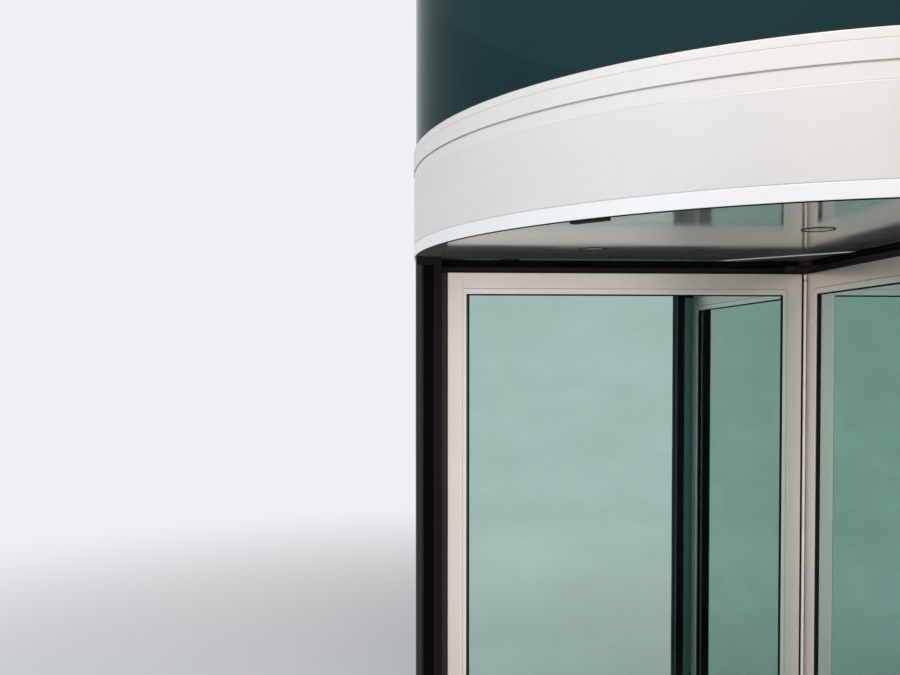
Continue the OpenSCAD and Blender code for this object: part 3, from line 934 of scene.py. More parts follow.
class DoorFinishes(bpy.types.PropertyGroup):
    """Colours of the door's finishes."""

    canopy: tone("Canopy sheet", (0.71, 0.68, 0.65))
    canopy_trim: tone("Coping and upper band", (0.75, 0.71, 0.675))
    # Lighter than the canopy sheet: painted light for the ground light on the lower band.
    canopy_band: tone("Lower band", (0.83, 0.82, 0.81))
    # Lighter than the wing frames: painted highlight on the glazing beads.
    wing: tone("Wing frames", (0.885, 0.80, 0.735))
    wing_bead: tone("Glazing beads", (0.92, 0.85, 0.785))
    bronze: tone("Posts", (0.0056, 0.0036, 0.0038))
    # Darker than the side strips: partly painted shade under the ceiling.
    holder: tone("Top seal holders", (0.008, 0.0045, 0.0025))
    strip: tone("Side seal strips", (0.042, 0.034, 0.028))
    hub: tone("Hub and flange", (0.036, 0.029, 0.024))
    steel: tone("Stainless steel", (0.56, 0.56, 0.55))
    trim: tone("Bright trims", (0.70, 0.69, 0.68))
    # Near-white tone: painted highlight for the rods' bright reflection.
    rod: tone("Corner beads", (0.98, 0.90, 0.82))
    ceiling: tone("Ceiling sheet", (0.60, 0.59, 0.56))
    mat_bar: tone("Mat bars", (0.42, 0.42, 0.41))
    wing_glass: tone("Wing glass", (0.50, 0.68, 0.62))
    wall_glass: tone("Wall glass", (0.10, 0.17, 0.18))
    upper_glass: tone("Upper glass", (0.018, 0.048, 0.047))


class DoorStage(bpy.types.PropertyGroup):
    """Floor, light and camera."""

    floor: tone("Stage floor", (0.70, 0.70, 0.69))
    backdrop: tone("Backdrop", (0.86, 0.88, 0.90))
    fade_start: length("Fade start", "Where the floor begins to turn into the backdrop", 2.6)
    fade_end: length("Fade end", "Where the floor has become the backdrop", 8.0)
    ambient: number("Ambient light", "Strength of the light from all round", 0.46)
    left_power: power("Left lamp", "Power of the cool lamp on the left", 165.0)
    right_power: power("Right lamp", "Power of the warm lamp on the right", 118.0)
    rear_power: power("Rear lamp", "Power of the lamp behind", 81.0)
    top_power: power("Top lamp", "Power of the lamp above", 185.0)
    lens: number("Lens", "Focal length in millimetres on a 36 mm sensor", 37.6311)
    shift: number("Shift", "Upward shift of the lens", 0.03908)
    eye: FloatVectorProperty(name="Eye", description="Camera position", default=(1.30565, -3.34202, 1.77594),
                             subtype="TRANSLATION", unit="LENGTH", size=3)
    turn: angle("Turn", "Turn of the view to the left of straight ahead", 42.1642)
    pitch: angle("Pitch", "Tilt of the view above level", -1.2558)
    roll: angle("Roll", "Roll of the view", 0.024)


# Pieces

class Piece:
    """What the operators share."""

    bl_options = {"REGISTER", "UNDO"}


class DOOR_OT_floor(Piece, bpy.types.Operator):
    """Floor ring in plates, the tray, the barred mats and the floor bearing"""

    bl_idname = "door.floor"
    bl_label = "Floor"

    def execute(self, context):
        inner, outer, low, high = ring_of("floor_ring")
        plates = 8
        gap = math.degrees(sizes().floor_joint / outer)
        section = rounded([(inner, low), (outer, low), (outer, high), (inner, high)], 2 * MM)
        start, sweep = 360 / plates / 2 + gap / 2, 360 / plates - gap
        ring = swept("floor_plates", section, "turned_steel", start, sweep, plates)
        place(ring, DRUM, "stainless", "floor_ring")
        shares_of_plate = (-0.42, -0.14, 0.14, 0.42)
        angles = []
        for plate in range(plates):
            angles += [math.tau * plate / plates + share * math.tau / plates for share in shares_of_plate]
        spots = circle(inner + 11 * MM, angles, high - SUNK)
        screws("floor_screws", spots, (0, 0, 1), FLOOR_SCREW, "steel", "stainless", seed=3)
        refinish("black", "floor_tray")
        self.mats()
        self.bearing()
        return {"FINISHED"}

    def mats(self):
        """Bars of aluminium with strips of carpet between them, in a thin steel rim."""
        pitch, half = sizes().mat_pitch, sizes().mat_bar_w / 2
        room = pitch / 2 - half
        for side, sign in (("front", -1), ("rear", 1)):
            node = "mat_" + side
            low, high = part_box(node)
            centre_r, mat_r, bottom, top = ring_of(node)
            first = sign * (min(abs(low.y), abs(high.y)) + half + 2 * MM)
            count = int((mat_r - abs(first) - half) / pitch) + 1
            bar = [
                *at(-half, top, (0, -3), (0, 0)), *at(half, top, (0, 0), (0, -3), (-2, -3)),
                *at(half, bottom, (-2, 0)), *at(-half, bottom, (2, 0)), *at(-half, top, (2, -3))]
            bar = rounded(bar, 0.5 * MM, 1)
            bars = rows(f"mat_bars_{side}", bar, "mat_bar", first, sign * pitch, count,
                        mat_r - 5 * MM, centre_r + 4 * MM, 0.6 * MM)
            place(bars, DRUM, "entrance_mat", node)
            strip = box_outline(-room - 1.2 * MM, room + 1.2 * MM, bottom + 1.2 * MM, top - 2.2 * MM)
            strip, first = rounded(strip, 1.5 * MM, 2), first + sign * pitch / 2
            strips = rows(f"mat_strips_{side}", strip, "carpet", first, sign * pitch, count,
                          mat_r - 6 * MM, centre_r + 5 * MM, 0.4 * MM)
            place(strips, DRUM, "entrance_mat")
        inner = ring_of("floor_ring")[0]
        rim = rounded(box_outline(inner - 4 * MM, inner - 0.4 * MM, bottom, top - 0.3 * MM), 0.6 * MM)
        place(swept("mat_rim", rim, "steel"), DRUM, "stainless")

    def bearing(self):
        """Round cap with a groove, a hole for the centre post's pin and six screws."""
        _, outer, low, high = ring_of("floor_bearing")
        radii, heights = radii_of("floor_bearing")
        hole = radii[(heights > high - MM) & (radii > MM)].min()
        cup = heights[heights > low + MM].min()
        face = at(outer, high, (0, -2.5, 0.8), (-3, 0, 1.5), (-19, 0, 0.8), (-20, -1, 0.5), (-22, -1, 0.5),
                  (-23, 0, 0.8))
        section = [(PIN, low), (outer, low), *face, (hole, high, 0.8 * MM), (hole, cup), (PIN, cup)]
        place(turned("floor_bearing_cap", section, "turned_steel"), DRUM, "stainless", "floor_bearing")
        angles = [math.radians(30 + 60 * i) for i in range(6)]
        spots = circle(outer - 11 * MM, angles, high - SUNK)
        screws("floor_bearing_screws", spots, (0, 0, 1), FLOOR_SCREW, "steel", "stainless", seed=5)


class DOOR_OT_posts(Piece, bpy.types.Operator):
    """Dark posts and mullions of the drum wall"""

    bl_idname = "door.posts"
    bl_label = "Posts"

    def execute(self, context):
        for corner in WINGS:
            self.post("post_" + corner)
        for side, degrees in SIDES.items():
            self.mullion(side, degrees)
        return {"FINISHED"}

    def post(self, node):
        """A bronze face block, a recess coloured black as painted shade, and a glossier nose, with a plain
        block at the head.
        """
        degrees = heading(node)
        turn = about_axis(degrees)
        low, high = wing_box(node, degrees)
        heights = points_of(node)[:, 2]
        halfway = 1.0
        head_z = heights[(heights > halfway) & (heights < heights.max() - MM)].min()
        solid = bmesh.new()
        add_bar(solid, self.plan(low.x, high.x, high.y), low.z, head_z + 0.5 * MM, turn)
        home = turn.inverted()
        block_end, nose_start = low.x + 26.8 * MM, high.x - 28.4 * MM
        for face in solid.faces:
            spot = home @ face.calc_center_median()
            # Recess faces get the black finish: painted shade for the shadow inside the shallow recess.
            if len(face.verts) == 4 and spot.x > block_end:
                recessed = spot.x < nose_start and abs(spot.y) < high.y - MM
                face.material_index = 1 if recessed else 2
        head = rounded(box_outline(low.x + 0.05 * MM, high.x - MM, -high.y, high.y), MM)
        add_bar(solid, head, head_z, high.z, turn, edge=0.5 * MM)
        finished(solid, node + "_profile", ["bronze", "black", "nose"], DRUM, "dark_metal", node)

    def plan(self, near, far, half):
        """Face block with a fine groove on each side, recessed middle and rounded nose."""
        nose, back = 15.5 * MM, 6 * MM
        steps = 14
        first = math.pi - math.asin((nose - back) / nose)
        run = at(near, -half, (0, 0, 1.2), (6.5, 0, 0.4), (6.5, 1.2, 0), (8, 1.2, 0), (8, 0, 0.4),
                 (27, 0, 1.2), (27, 6, 0.5))
        for k in range(steps + 1):
            a = first * (1 - k / steps)
            run.append((far - nose + nose * math.cos(a), -half + nose * (1 - math.sin(a)), 0))
        return rounded(both_sides(run), 0)

    def mullion(self, side, degrees):
        """A plain bar with a fine groove on each side of its face."""
        low, high = wing_box("mullions", degrees)
        run = at(low.x, -high.y, (0, 0, 1.5), (62, 0, 0.5), (62, 2, 0), (66, 2, 0), (66, 0, 0.5))
        run.append((high.x, -high.y, 2.5 * MM))
        solid = bmesh.new()
        add_bar(solid, rounded(both_sides(run), 0), low.z, high.z, about_axis(degrees))
        nodes = ["mullions"] if side == "left" else []
        finished(solid, "mullion_" + side, ["bronze"], DRUM, "dark_metal", *nodes)


class DOOR_OT_side_walls(Piece, bpy.types.Operator):
    """Curved side walls: sills, head rails, glass and gaskets"""

    bl_idname = "door.side_walls"
    bl_label = "Side walls"

    def execute(self, context):
        glass_in, glass_out, bottom, top = ring_of("side_glass_left")
        inner, outer, low, high = ring_of("side_sills")
        head_low, head_high = ring_of("side_heads")[2:]
        clear, seat = 1.8 * MM, 5 * MM
        slot_in, slot_out = glass_in - clear, glass_out + clear
        sill = [
            (inner, low, 1.5 * MM), (outer, low, MM), *at(outer, high, (0, -7, 2)),
            *at(slot_out, high, (0, 0, 1), (0, -6, 0)), *at(slot_in, high, (0, -6, 0), (0, 0, 0.4)),
            *at(inner, high, (0, 0, 0.8), (0, -22, 0.4), (1.2, -23.2, 0), (0, -24.4, 0.4))]
        head = [
            (inner, head_high, MM), (outer, head_high, MM), (outer, head_low, 2 * MM),
            *at(slot_out, head_low, (0, 0, 1), (0, 6, 0)), *at(slot_in, head_low, (0, 6, 0), (0, 0, 0.4)),
            *at(inner, head_low, (0, 0, 0.8), (0, 16, 0.4), (1.2, 17.2, 0), (0, 18.4, 0.4))]
        pane = rounded(box_outline(glass_in, glass_out, bottom - seat, top + seat), MM, 2)
        for side, degrees in SIDES.items():
            for label, section in (("sill", sill), ("head", head)):
                piece = self.pair(f"side_{label}_{side}", rounded(section, 0), "bronze", degrees)
                place(piece, DRUM, "dark_metal", *([f"side_{label}s"] if side == "left" else []))
            piece = self.pair(f"side_pane_{side}", pane, "wall_glass", degrees)
            place(piece, DRUM, "wall_glass", "side_glass_" + side)
            strips = []
            for z in (bottom, top):
                for r0, r1 in ((slot_in, glass_in), (glass_out, slot_out)):
                    strip = box_outline(r0 + 0.1 * MM, r1 - 0.1 * MM, z - seat, z + seat)
                    strips.append(self.pair("strip", rounded(strip, 0.6 * MM, 2), "rubber", degrees))
            place(merged(f"side_gaskets_{side}", strips), DRUM, "dark_metal")
        return {"FINISHED"}

    def pair(self, name, section, key, degrees):
        """A wall piece on each side of the mullion."""
        start, sweep = span("side_sills", in_corner=True)
        starts = (degrees + start, degrees - start - sweep)
        return merged(name, [swept(name + "_part", section, key, first, sweep) for first in starts])


class DOOR_OT_canopy(Piece, bpy.types.Operator):
    """Canopy: lower band, fascia panels, upper band, coping and roof"""

    bl_idname = "door.canopy"
    bl_label = "Canopy"

    def execute(self, context):
        edge = sizes().sheet_edge
        refinish("black", "canopy_frame")
        frame_r, outer, low, high = ring_of("lower_band")
        band = [
            (frame_r, low, 0.4 * MM),
            *at(outer, low, (-4, 0, 0.4), (-4, 1.2, 0), (-2.8, 1.2, 0), (-2.8, 0, 0.4), (0, 0)),
            (outer, high), (frame_r, high, 0.4 * MM)]
        # The lower band's lighter finish is painted light.
        place(swept("canopy_lower_band", rounded(band, edge), "band"), DRUM, "canopy_aluminium", "lower_band")
        panel = rounded(box_outline(*ring_of("fascia_front")), edge)
        quarters("canopy_panel", panel, "canopy", "canopy_aluminium", "fascia")
        band = rounded(box_outline(*ring_of("upper_band")), edge)
        place(swept("canopy_upper_band", band, "canopy_trim"), DRUM, "canopy_aluminium", "upper_band")
        inner, outer, low, high = ring_of("coping")
        groove = high - 0.34 * (high - low)
        cap = [
            (frame_r, low, 0.4 * MM), (outer, low),
            *at(outer, groove, (0, -1.2, 0.4), (-1.3, 0, 0.3), (0, 1.2, 0.4)),
            (outer, high, 1.8 * MM), *at(inner, high, (3, 0, 0.6), (0, -1.5, 0.5), (0, -3, 0.3)),
            *at(frame_r, high, (0, -3, 0))]
        place(swept("canopy_coping", rounded(cap, edge), "canopy_trim"), DRUM, "canopy_aluminium", "coping")
        self.joint_strips()
        refinish("roof", "roof_deck")
        self.seams()
        return {"FINISHED"}

    def joint_strips(self):
        """What shows in the joint between one row of sheets and the next, set back by a few millimetres."""
        strips = []
        rows_up = ("lower_band", "fascia_front", "upper_band", "coping")
        for below, above, back in zip(rows_up, rows_up[1:], (1.1, 1.1, 4)):
            inner, outer, _, start = ring_of(below)
            strip = box_outline(inner, outer - back * MM, start + 0.05 * MM, ring_of(above)[2] - 0.05 * MM)
            strips.append(swept("strip", rounded(strip, 0.3 * MM, 2), "canopy"))
        place(merged("canopy_joint_strips", strips), DRUM, "canopy_aluminium")

    def seams(self):
        """Standing seams across the roof."""
        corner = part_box("roof_deck")[1]
        reach, pitch = corner.x - 46 * MM, sizes().seam_pitch
        seam = at(0, corner.z, (-12, -0.5), (-12, 1.2), (-3, 2.5), (-3, 13), (3, 13), (3, 2.5), (12, 1.2),
                  (12, -0.5))
        count = int(2 * reach / pitch)
        first = -(count - 1) / 2 * pitch
        piece = rows("roof_seams", rounded(seam, 1.2 * MM, 2), "roof", first, pitch, count, reach, 0.0, 0.0)
        place(piece, DRUM, "black_metal")


class DOOR_OT_ceiling(Piece, bpy.types.Operator):
    """Mirror-bright ceiling with its trims, downlights, sensors and bearing flange"""

    bl_idname = "door.ceiling"
    bl_label = "Ceiling"

    def execute(self, context):
        refinish("ceiling", "ceiling_front", "ceiling_rear", "beam_cover")
        self.rim()
        self.trims()
        self.downlights()
        self.sensors()
        self.flange()
        return {"FINISHED"}

    def rim(self):
        """Black edge strip round the ceiling sheets."""
        edge = ring_of("ceiling_front")[1]
        low, high = (corner.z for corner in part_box("beam_cover"))
        strip = box_outline(edge + 0.05 * MM, edge + 0.9 * MM, low + 0.1 * MM, high - 0.1 * MM)
        place(swept("ceiling_rim", rounded(strip, 0.3 * MM, 2), "black"), DRUM, "ceiling_panel")

    def trims(self):
        """Bright strips along the edges of the beam."""
        low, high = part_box("beam_trims")
        width = 9 * MM
        solid = bmesh.new()
        for y in (low.y, high.y - width):
            strip = rounded(box_outline(y, y + width, high.z - sizes().trim_proud, high.z), 0.4 * MM, 2)
            add_bar(solid, strip, low.x, high.x, axis="X", edge=0.4 * MM)
        finished(solid, "ceiling_trims", ["trim"], DRUM, "bright_trim", "beam_trims")

    def downlights(self):
        """Four downlights: a dark bezel, a black housing above it and a lens in it."""
        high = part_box("downlights")[1]
        r, can, rim = 43.5 * MM, 35.4 * MM, 3 * MM
        ceiling = ceiling_height()
        face = ceiling - sizes().trim_proud
        bezel = [
            (r, ceiling, 0.3 * MM), *at(r, face, (0, 0.3, 0.3), (-0.6, 0, 0.3)), (r - rim, face, 0.4 * MM),
            *at(r - rim, ceiling, (-0.4, -0.1, 0.1))]
        housing = [(PIN, ceiling), (can, ceiling, 0.5 * MM), (can, high.z, 2 * MM), (PIN, high.z)]
        lens = [
            *at(PIN, ceiling, (0, -0.8)), *at(r - rim, ceiling, (-1.4, -0.6, 0.3), (-0.6, -0.1, 0.1)),
            *at(PIN, ceiling, (0, -0.1))]
        groups = (
            ("downlight_bezels", bezel, "hub", ["downlights"]),
            ("downlight_housings", housing, "black", []),
            ("downlight_lenses", lens, "lens", []))
        for name, section, key, nodes in groups:
            parts = []
            for sx, sy in ((-1, -1), (-1, 1), (1, -1), (1, 1)):
                part = turned("part", section, key)
                part.data.transform(Matrix.Translation((sx * (high.x - r), sy * (high.y - r), 0)))
                parts.append(part)
            place(merged(name, parts), DRUM, "bright_trim", *nodes)

    def sensors(self):
        """Two black bars with two windows each."""
        low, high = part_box("sensors")
        front = points_of("sensors")
        front = front[front[:, 1] < 0]
        depth = front[:, 1].max() - low.y
        bars, windows = bmesh.new(), bmesh.new()
        for y in (low.y, high.y - depth):
            bar = rounded(box_outline(low.x, high.x, y, y + depth), 4 * MM, 5)
            add_bar(bars, bar, low.z, high.z, edge=MM)
            middle, half = y + depth / 2, 0.27 * depth
            for x in (low.x * 0.55, high.x * 0.55):
                window = box_outline(x - 14 * MM, x + 14 * MM, middle - half, middle + half)
                window = rounded(window, 3 * MM, 4)
                add_bar(windows, window, low.z - 0.4 * MM, low.z + 0.6 * MM, edge=0.3 * MM)
        finished(bars, "sensor_bars", ["plastic"], DRUM, "sensor_plastic", "sensors")
        finished(windows, "sensor_windows", ["rubber"], DRUM, "sensor_plastic")

    def flange(self):
        """Dark flange round the shaft, with a step, a sleeve above the ceiling and four screws."""
        inner, outer, low, high = ring_of("bearing_flange")
        ceiling = ceiling_height()
        radii, heights = radii_of("bearing_flange")
        sleeve = radii[heights > ceiling + MM].max()
        section = [
            *at(inner, low, (0, 0, 0.5), (7, 0, 0.4), (8, 1, 0.4)),
            *at(outer, low, (-2.5, 1, 1), (0, 3.5, 1)), (outer, ceiling, 0.5 * MM),
            (sleeve, ceiling, 0.5 * MM), (sleeve, high, MM), (inner, high, 0.5 * MM)]
        place(turned("top_flange", section, "hub"), DRUM, "dark_metal", "bearing_flange")
        angles = [math.radians(90 * i) for i in range(4)]
        spots = circle((inner + outer) / 2 + 3 * MM, angles, low + 1.1 * MM)
        screws("top_flange_screws", spots, (0, 0, -1), 5 * MM, "hub", "dark_metal", seed=8)


class DOOR_OT_upper_glass(Piece, bpy.types.Operator):
    """Dark glass drum above the canopy, with its joints, gaskets and head ring"""

    bl_idname = "door.upper_glass"
    bl_label = "Upper glass"

    def execute(self, context):
        inner, outer, low, high = ring_of("upper_glass_front")
        pane = rounded(box_outline(inner, outer, low + 0.3 * MM, high - 0.3 * MM), 1.2 * MM, 2)
        filled = 0.96
        width = filled * quarters("upper_pane", pane, "upper_glass", "upper_glass", "upper_glass")
        joint = rounded(box_outline(inner + 1.5 * MM, outer - 1.5 * MM, low, high), 0.5 * MM, 1)
        place(swept("upper_joints", joint, "rubber", 45 - width / 2, width, 4), DRUM, "upper_glass")
        outside = [*at(outer, low, (0.1, 0), (5, 0), (5, 2), (0.1, 8))]
        inside = [*at(inner, low, (-5, 0), (-0.1, 0), (-0.1, 8), (-5, 2))]
        strips = [swept("strip", rounded(strip, 0.7 * MM, 2), "rubber") for strip in (outside, inside)]
        place(merged("upper_gaskets", strips), DRUM, "upper_glass")
        inner, outer, low, high = ring_of("head_ring")
        cap = [
            (inner, low, 0.8 * MM),
            *at(outer, low, (0, 0, 1.5), (0, 18, 0.5), (-1.5, 19, 0.4), (-1.5, 20.5, 0.4), (0, 21.5, 0.5)),
            (outer, high, 2.5 * MM), (inner, high, 1.5 * MM)]
        place(swept("head_ring_profile", rounded(cap, 0), "bronze"), DRUM, "dark_metal", "head_ring")
        return {"FINISHED"}


class DOOR_OT_centre(Piece, bpy.types.Operator):
    """Centre post, corner beads with their caps, and the hub"""

    bl_idname = "door.centre"
    bl_label = "Centre"

    def execute(self, context):
        refinish("hub", "centre_post")
        self.beads()
        self.hub()
        return {"FINISHED"}

    def beads(self):
        """A polished rod at each corner between two wings, with a neck and a cap at its top."""
        s = sizes()
        low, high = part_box("corner_beads")
        r = s.corner_r
        out = Matrix.Translation((0, -(ring_of("corner_beads")[1] + s.corner_proud - r), 0))
        neck, cap = high.z - s.knob_h - 7 * MM, high.z - s.knob_h
        profile = [
            (PIN, low.z), (r, low.z), *at(r, neck, (0, 0), (-2.5, 2)), *at(r, cap, (-2.5, -1), (0.7, 1)),
            *at(r, high.z, (0.7, -2), (-1, 0)), (PIN, high.z)]
        solid = bmesh.new()
        for quarter in range(4):
            turn = about_axis(90 * quarter)
            rings = [circle(radius, round_steps(32), z) for radius, z in profile]
            add_rings(solid, [[turn @ out @ Vector(p) for p in ring] for ring in rings])
        # The rods' pale finish is a painted highlight.
        finished(solid, "corner_bead_rods", ["rod"], ROTOR, "bright_trim", "corner_beads", soften=30)

    def hub(self):
        """Brown hub with a groove and a stepped shoulder, and the shaft above it."""
        _, outer, low, high = ring_of("hub")
        radii, heights = radii_of("hub")
        shaft = radii[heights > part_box("top_brushes")[1].z].max()
        shoulder = heights[radii > outer - MM].max()
        section = [
            (PIN, low),
            *at(outer, low, (0, 0, 0.6), (0, 10, 0.4), (-1.2, 11, 0.3), (-1.2, 12.5, 0.3), (0, 13.5, 0.4)),
            *at(outer, shoulder, (0, -5, 0.5), (-3, -3, 0.8), (-3, 0, 0.8)),
            (shaft, shoulder, 0.3 * MM), (shaft, high, MM), (PIN, high)]
        place(turned("hub_turned", section, "hub"), ROTOR, "dark_metal", "hub")


class DOOR_OT_wings(Piece, bpy.types.Operator):
    """Four wings: stiles, rails, glazing beads, gaskets and glass"""

    bl_idname = "door.wings"
    bl_label = "Wings"

    def execute(self, context):
        for wing, degrees in WINGS.items():
            glass = wing_box("wing_glass_" + wing, degrees)
            face = self.frame(wing, degrees, *glass)
            self.glazing(wing, about_axis(degrees), face, *glass)
        return {"FINISHED"}

    def frame(self, wing, degrees, glass_low, glass_high):
        """Stiles, rails and glazing beads of a wing. Returns how far the beads stand from its middle."""
        s = sizes()
        turn = about_axis(degrees)
        low, high = wing_box("wing_frame_" + wing, degrees)
        half, gap, edge, fine = high.y, s.bead_gap, s.profile_edge, 0.3 * MM
        step_low, step_high = wing_box("wing_frame_" + wing, degrees, half - MM)
        stile, rail, face = step_low.x - low.x, step_low.z - low.z, step_high.y
        bead_w, bead_h = glass_low.x - step_low.x, glass_low.z - step_low.z
        web = glass_high.y + 2.5 * MM
        solid = bmesh.new()
        for start, end in ((low.x, low.x + stile), (high.x, high.x - stile)):
            bead = end + (bead_w if end > start else -bead_w)
            corners = [(start, -half), (end, -half, fine), (end, -web, 0), (bead, -web, 0), (bead, web, 0),
                       (end, web, 0), (end, half, fine), (start, half)]
            add_bar(solid, rounded(corners, edge), low.z, high.z, turn, edge=0.6 * MM)
        for start, end in ((low.z, low.z + rail), (high.z, high.z - rail)):
            bead = end + (bead_h if end > start else -bead_h)
            corners = [(-half, start), (-half, end, fine), (-web, end, 0), (-web, bead, 0), (web, bead, 0),
                       (web, end, 0), (half, end, fine), (half, start)]
            add_bar(solid, rounded(corners, edge), low.x + stile + 0.1 * MM, high.x - stile - 0.1 * MM, turn,
                    "X", edge=0.2 * MM, finish=1)
        opening = (low.x + stile, high.x - stile, low.z + rail, high.z - rail)
        for sign in (-1, 1):
            inner, outer = sign * web, sign * face
            section = [(gap, inner), (gap, outer), (bead_w, outer, 1.7 * MM), (bead_w, inner)]
            add_mitred(solid, opening, rounded(section, 0.6 * MM), turn, finish=2, share=bead_h / bead_w)
        # The beads' finish is a lighter copy of the frame colour, a painted highlight.
        keys = ["stile", "rail", "bead"]
        finished(solid, "wing_profiles_" + wing, keys, ROTOR, "wing_aluminium", "wing_frame_" + wing)
        return face

    def glazing(self, wing, turn, face, low, high):
        """The pane of a wing and the black gasket between it and the beads."""
        pane, width = high.y, sizes().gasket_w
        under = 0.05 * MM
        gasket = bmesh.new()
        for sign in (-1, 1):
            inner, step, outer = (sign * y for y in (pane + under, pane + 2 * MM, face - 4 * MM))
            section = [(-under, inner), (-under, outer), (width * 0.5, outer), (width, step), (width, inner)]
            add_mitred(gasket, (low.x, high.x, low.z, high.z), rounded(section, 0.6 * MM, 2), turn)
        finished(gasket, "wing_gaskets_" + wing, ["rubber"], ROTOR, "wing_glass")
        glass = bmesh.new()
        outline = rounded(box_outline(low.x - 0.03 * MM, high.x + 0.03 * MM, low.y, high.y), 0.8 * MM, 2)
        add_bar(glass, outline, low.z, high.z, turn, edge=0.6 * MM)
        finished(glass, "wing_pane_" + wing, ["wing_glass"], ROTOR, "wing_glass", "wing_glass_" + wing)


class DOOR_OT_seals(Piece, bpy.types.Operator):
    """Seal holders and brushes round the wings"""

    bl_idname = "door.seals"
    bl_label = "Seals"

    def execute(self, context):
        s = sizes()
        self.holders()
        self.brush("top", 1, ceiling_height() - s.trim_proud - s.brush_clear, 5)
        self.brush("bottom", -1, ring_of("floor_ring")[3] + 4 * s.brush_clear, 4)
        self.side_brush()
        return {"FINISHED"}

    def holders(self):
        """Dark holders on the wings' top rails, their dark tone partly painted shade, and strips with a neck
        along their outer stiles.
        """
        top, side = bmesh.new(), bmesh.new()
        for degrees in WINGS.values():
            turn = about_axis(degrees)
            low, high = wing_box("top_holders", degrees, BESIDE)
            half = high.y
            run = at(half, low.z, (0, 5, 0.3), (-1, 6, 0), (-1, 7, 0), (0, 8, 0.3))
            run += at(half, high.z, (0, -4), (-3, 0))
            section = [(-half, low.z), (half, low.z)] + run + [(-y, *rest) for y, *rest in reversed(run)]
            add_bar(top, rounded(section, 0.6 * MM), low.x, high.x, turn, "X", edge=0.5 * MM)
            low, high = wing_box("side_holders", degrees, BESIDE)
            strip, neck = high.x - 11 * MM, 5 * MM
            plan = both_sides([(strip, -high.y, MM), (high.x, -high.y, 1.5 * MM)])
            add_bar(side, rounded(plan, 0), low.z, high.z, turn, edge=0.5 * MM)
            plan = box_outline(low.x + 0.05 * MM, strip + 0.5 * MM, -neck, neck)
            add_bar(side, rounded(plan, 0.3 * MM, 1), low.z, high.z, turn)
        # The top holders' dark finish is partly painted shade.
        finished(top, "top_seal_holders", ["holder"], ROTOR, "seal_holder", "top_holders")
        finished(side, "side_seal_holders", ["strip"], ROTOR, "seal_holder", "side_holders")

    def brush(self, label, way, tip, count):
        """A brush along the top or bottom of the wings. A block closes the top one's gap at the hub."""
        node, gap = label + "_brushes", sizes().bristle_gap
        filled = 0.96
        core = bmesh.new()
        lines = []
        for degrees in WINGS.values():
            turn = about_axis(degrees)
            low, high = wing_box(node, degrees, BESIDE)
            root = high.z
            if label == "top":
                holder_low, holder_high = wing_box("top_holders", degrees, BESIDE)
                root = holder_high.z
                block = rounded(box_outline(-high.y, high.y, low.z, root + 6 * MM), MM, 2)
                add_bar(core, block, low.x, holder_low.x - 0.2 * MM, turn, "X", edge=0.5 * MM, finish=1)
                places = on_wing(node, degrees, BESIDE)
                low.x = places[places[:, 2] > root + 2 * MM][:, 0].min() - 3 * MM
            body, half = root + (tip - root) * filled, high.y - 1.5 * MM
            outline = rounded(box_outline(-half, half, min(root, body), max(root, body)), MM, 2)
            add_bar(core, outline, low.x + MM, high.x - MM, turn, "X", edge=MM)
            for k in range(count):
                y = (k / (count - 1) * 2 - 1) * (high.y - 1.1 * MM)
                ends = (low.x + 2 * MM + 0.3 * gap * k, high.x - 2 * MM)
                lines.append([turn @ Vector((x, y, root)) for x in ends])
            length = abs(tip - root)
        finished(core, label + "_brush_cores", ["bristle", "hub"], ROTOR, "brush_seal", node)
        ways = [(0, 0, way)] * len(lines)
        bristles(label + "_brush_bristles", lines, ways, length, gap, splay=0.03, seed=11)

    def side_brush(self):
        """A brush along the outer edge of the wings."""
        s = sizes()
        tip = ring_of("side_sills")[0] - s.brush_clear
        core = bmesh.new()
        lines, ways = [], []
        for degrees in WINGS.values():
            turn = about_axis(degrees)
            low, high = wing_box("side_brushes", degrees, BESIDE)
            root = low.x - MM
            outline = rounded(box_outline(root, tip - 0.6 * MM, -3.5 * MM, 3.5 * MM), 0.5 * MM, 2)
            add_bar(core, outline, low.z, high.z, turn)
            for y in (-2.4 * MM, 2.4 * MM):
                lines.append([turn @ Vector((root, y, z)) for z in (low.z + MM, high.z - MM)])
                ways.append(turn @ Vector((1, 0, 0)))
            length = tip - low.x + MM
        finished(core, "side_brush_cores", ["bristle"], ROTOR, "brush_seal", "side_brushes")
        bristles("side_brush_bristles", lines, ways, length, 1.6 * s.bristle_gap, splay=0.04, seed=17)


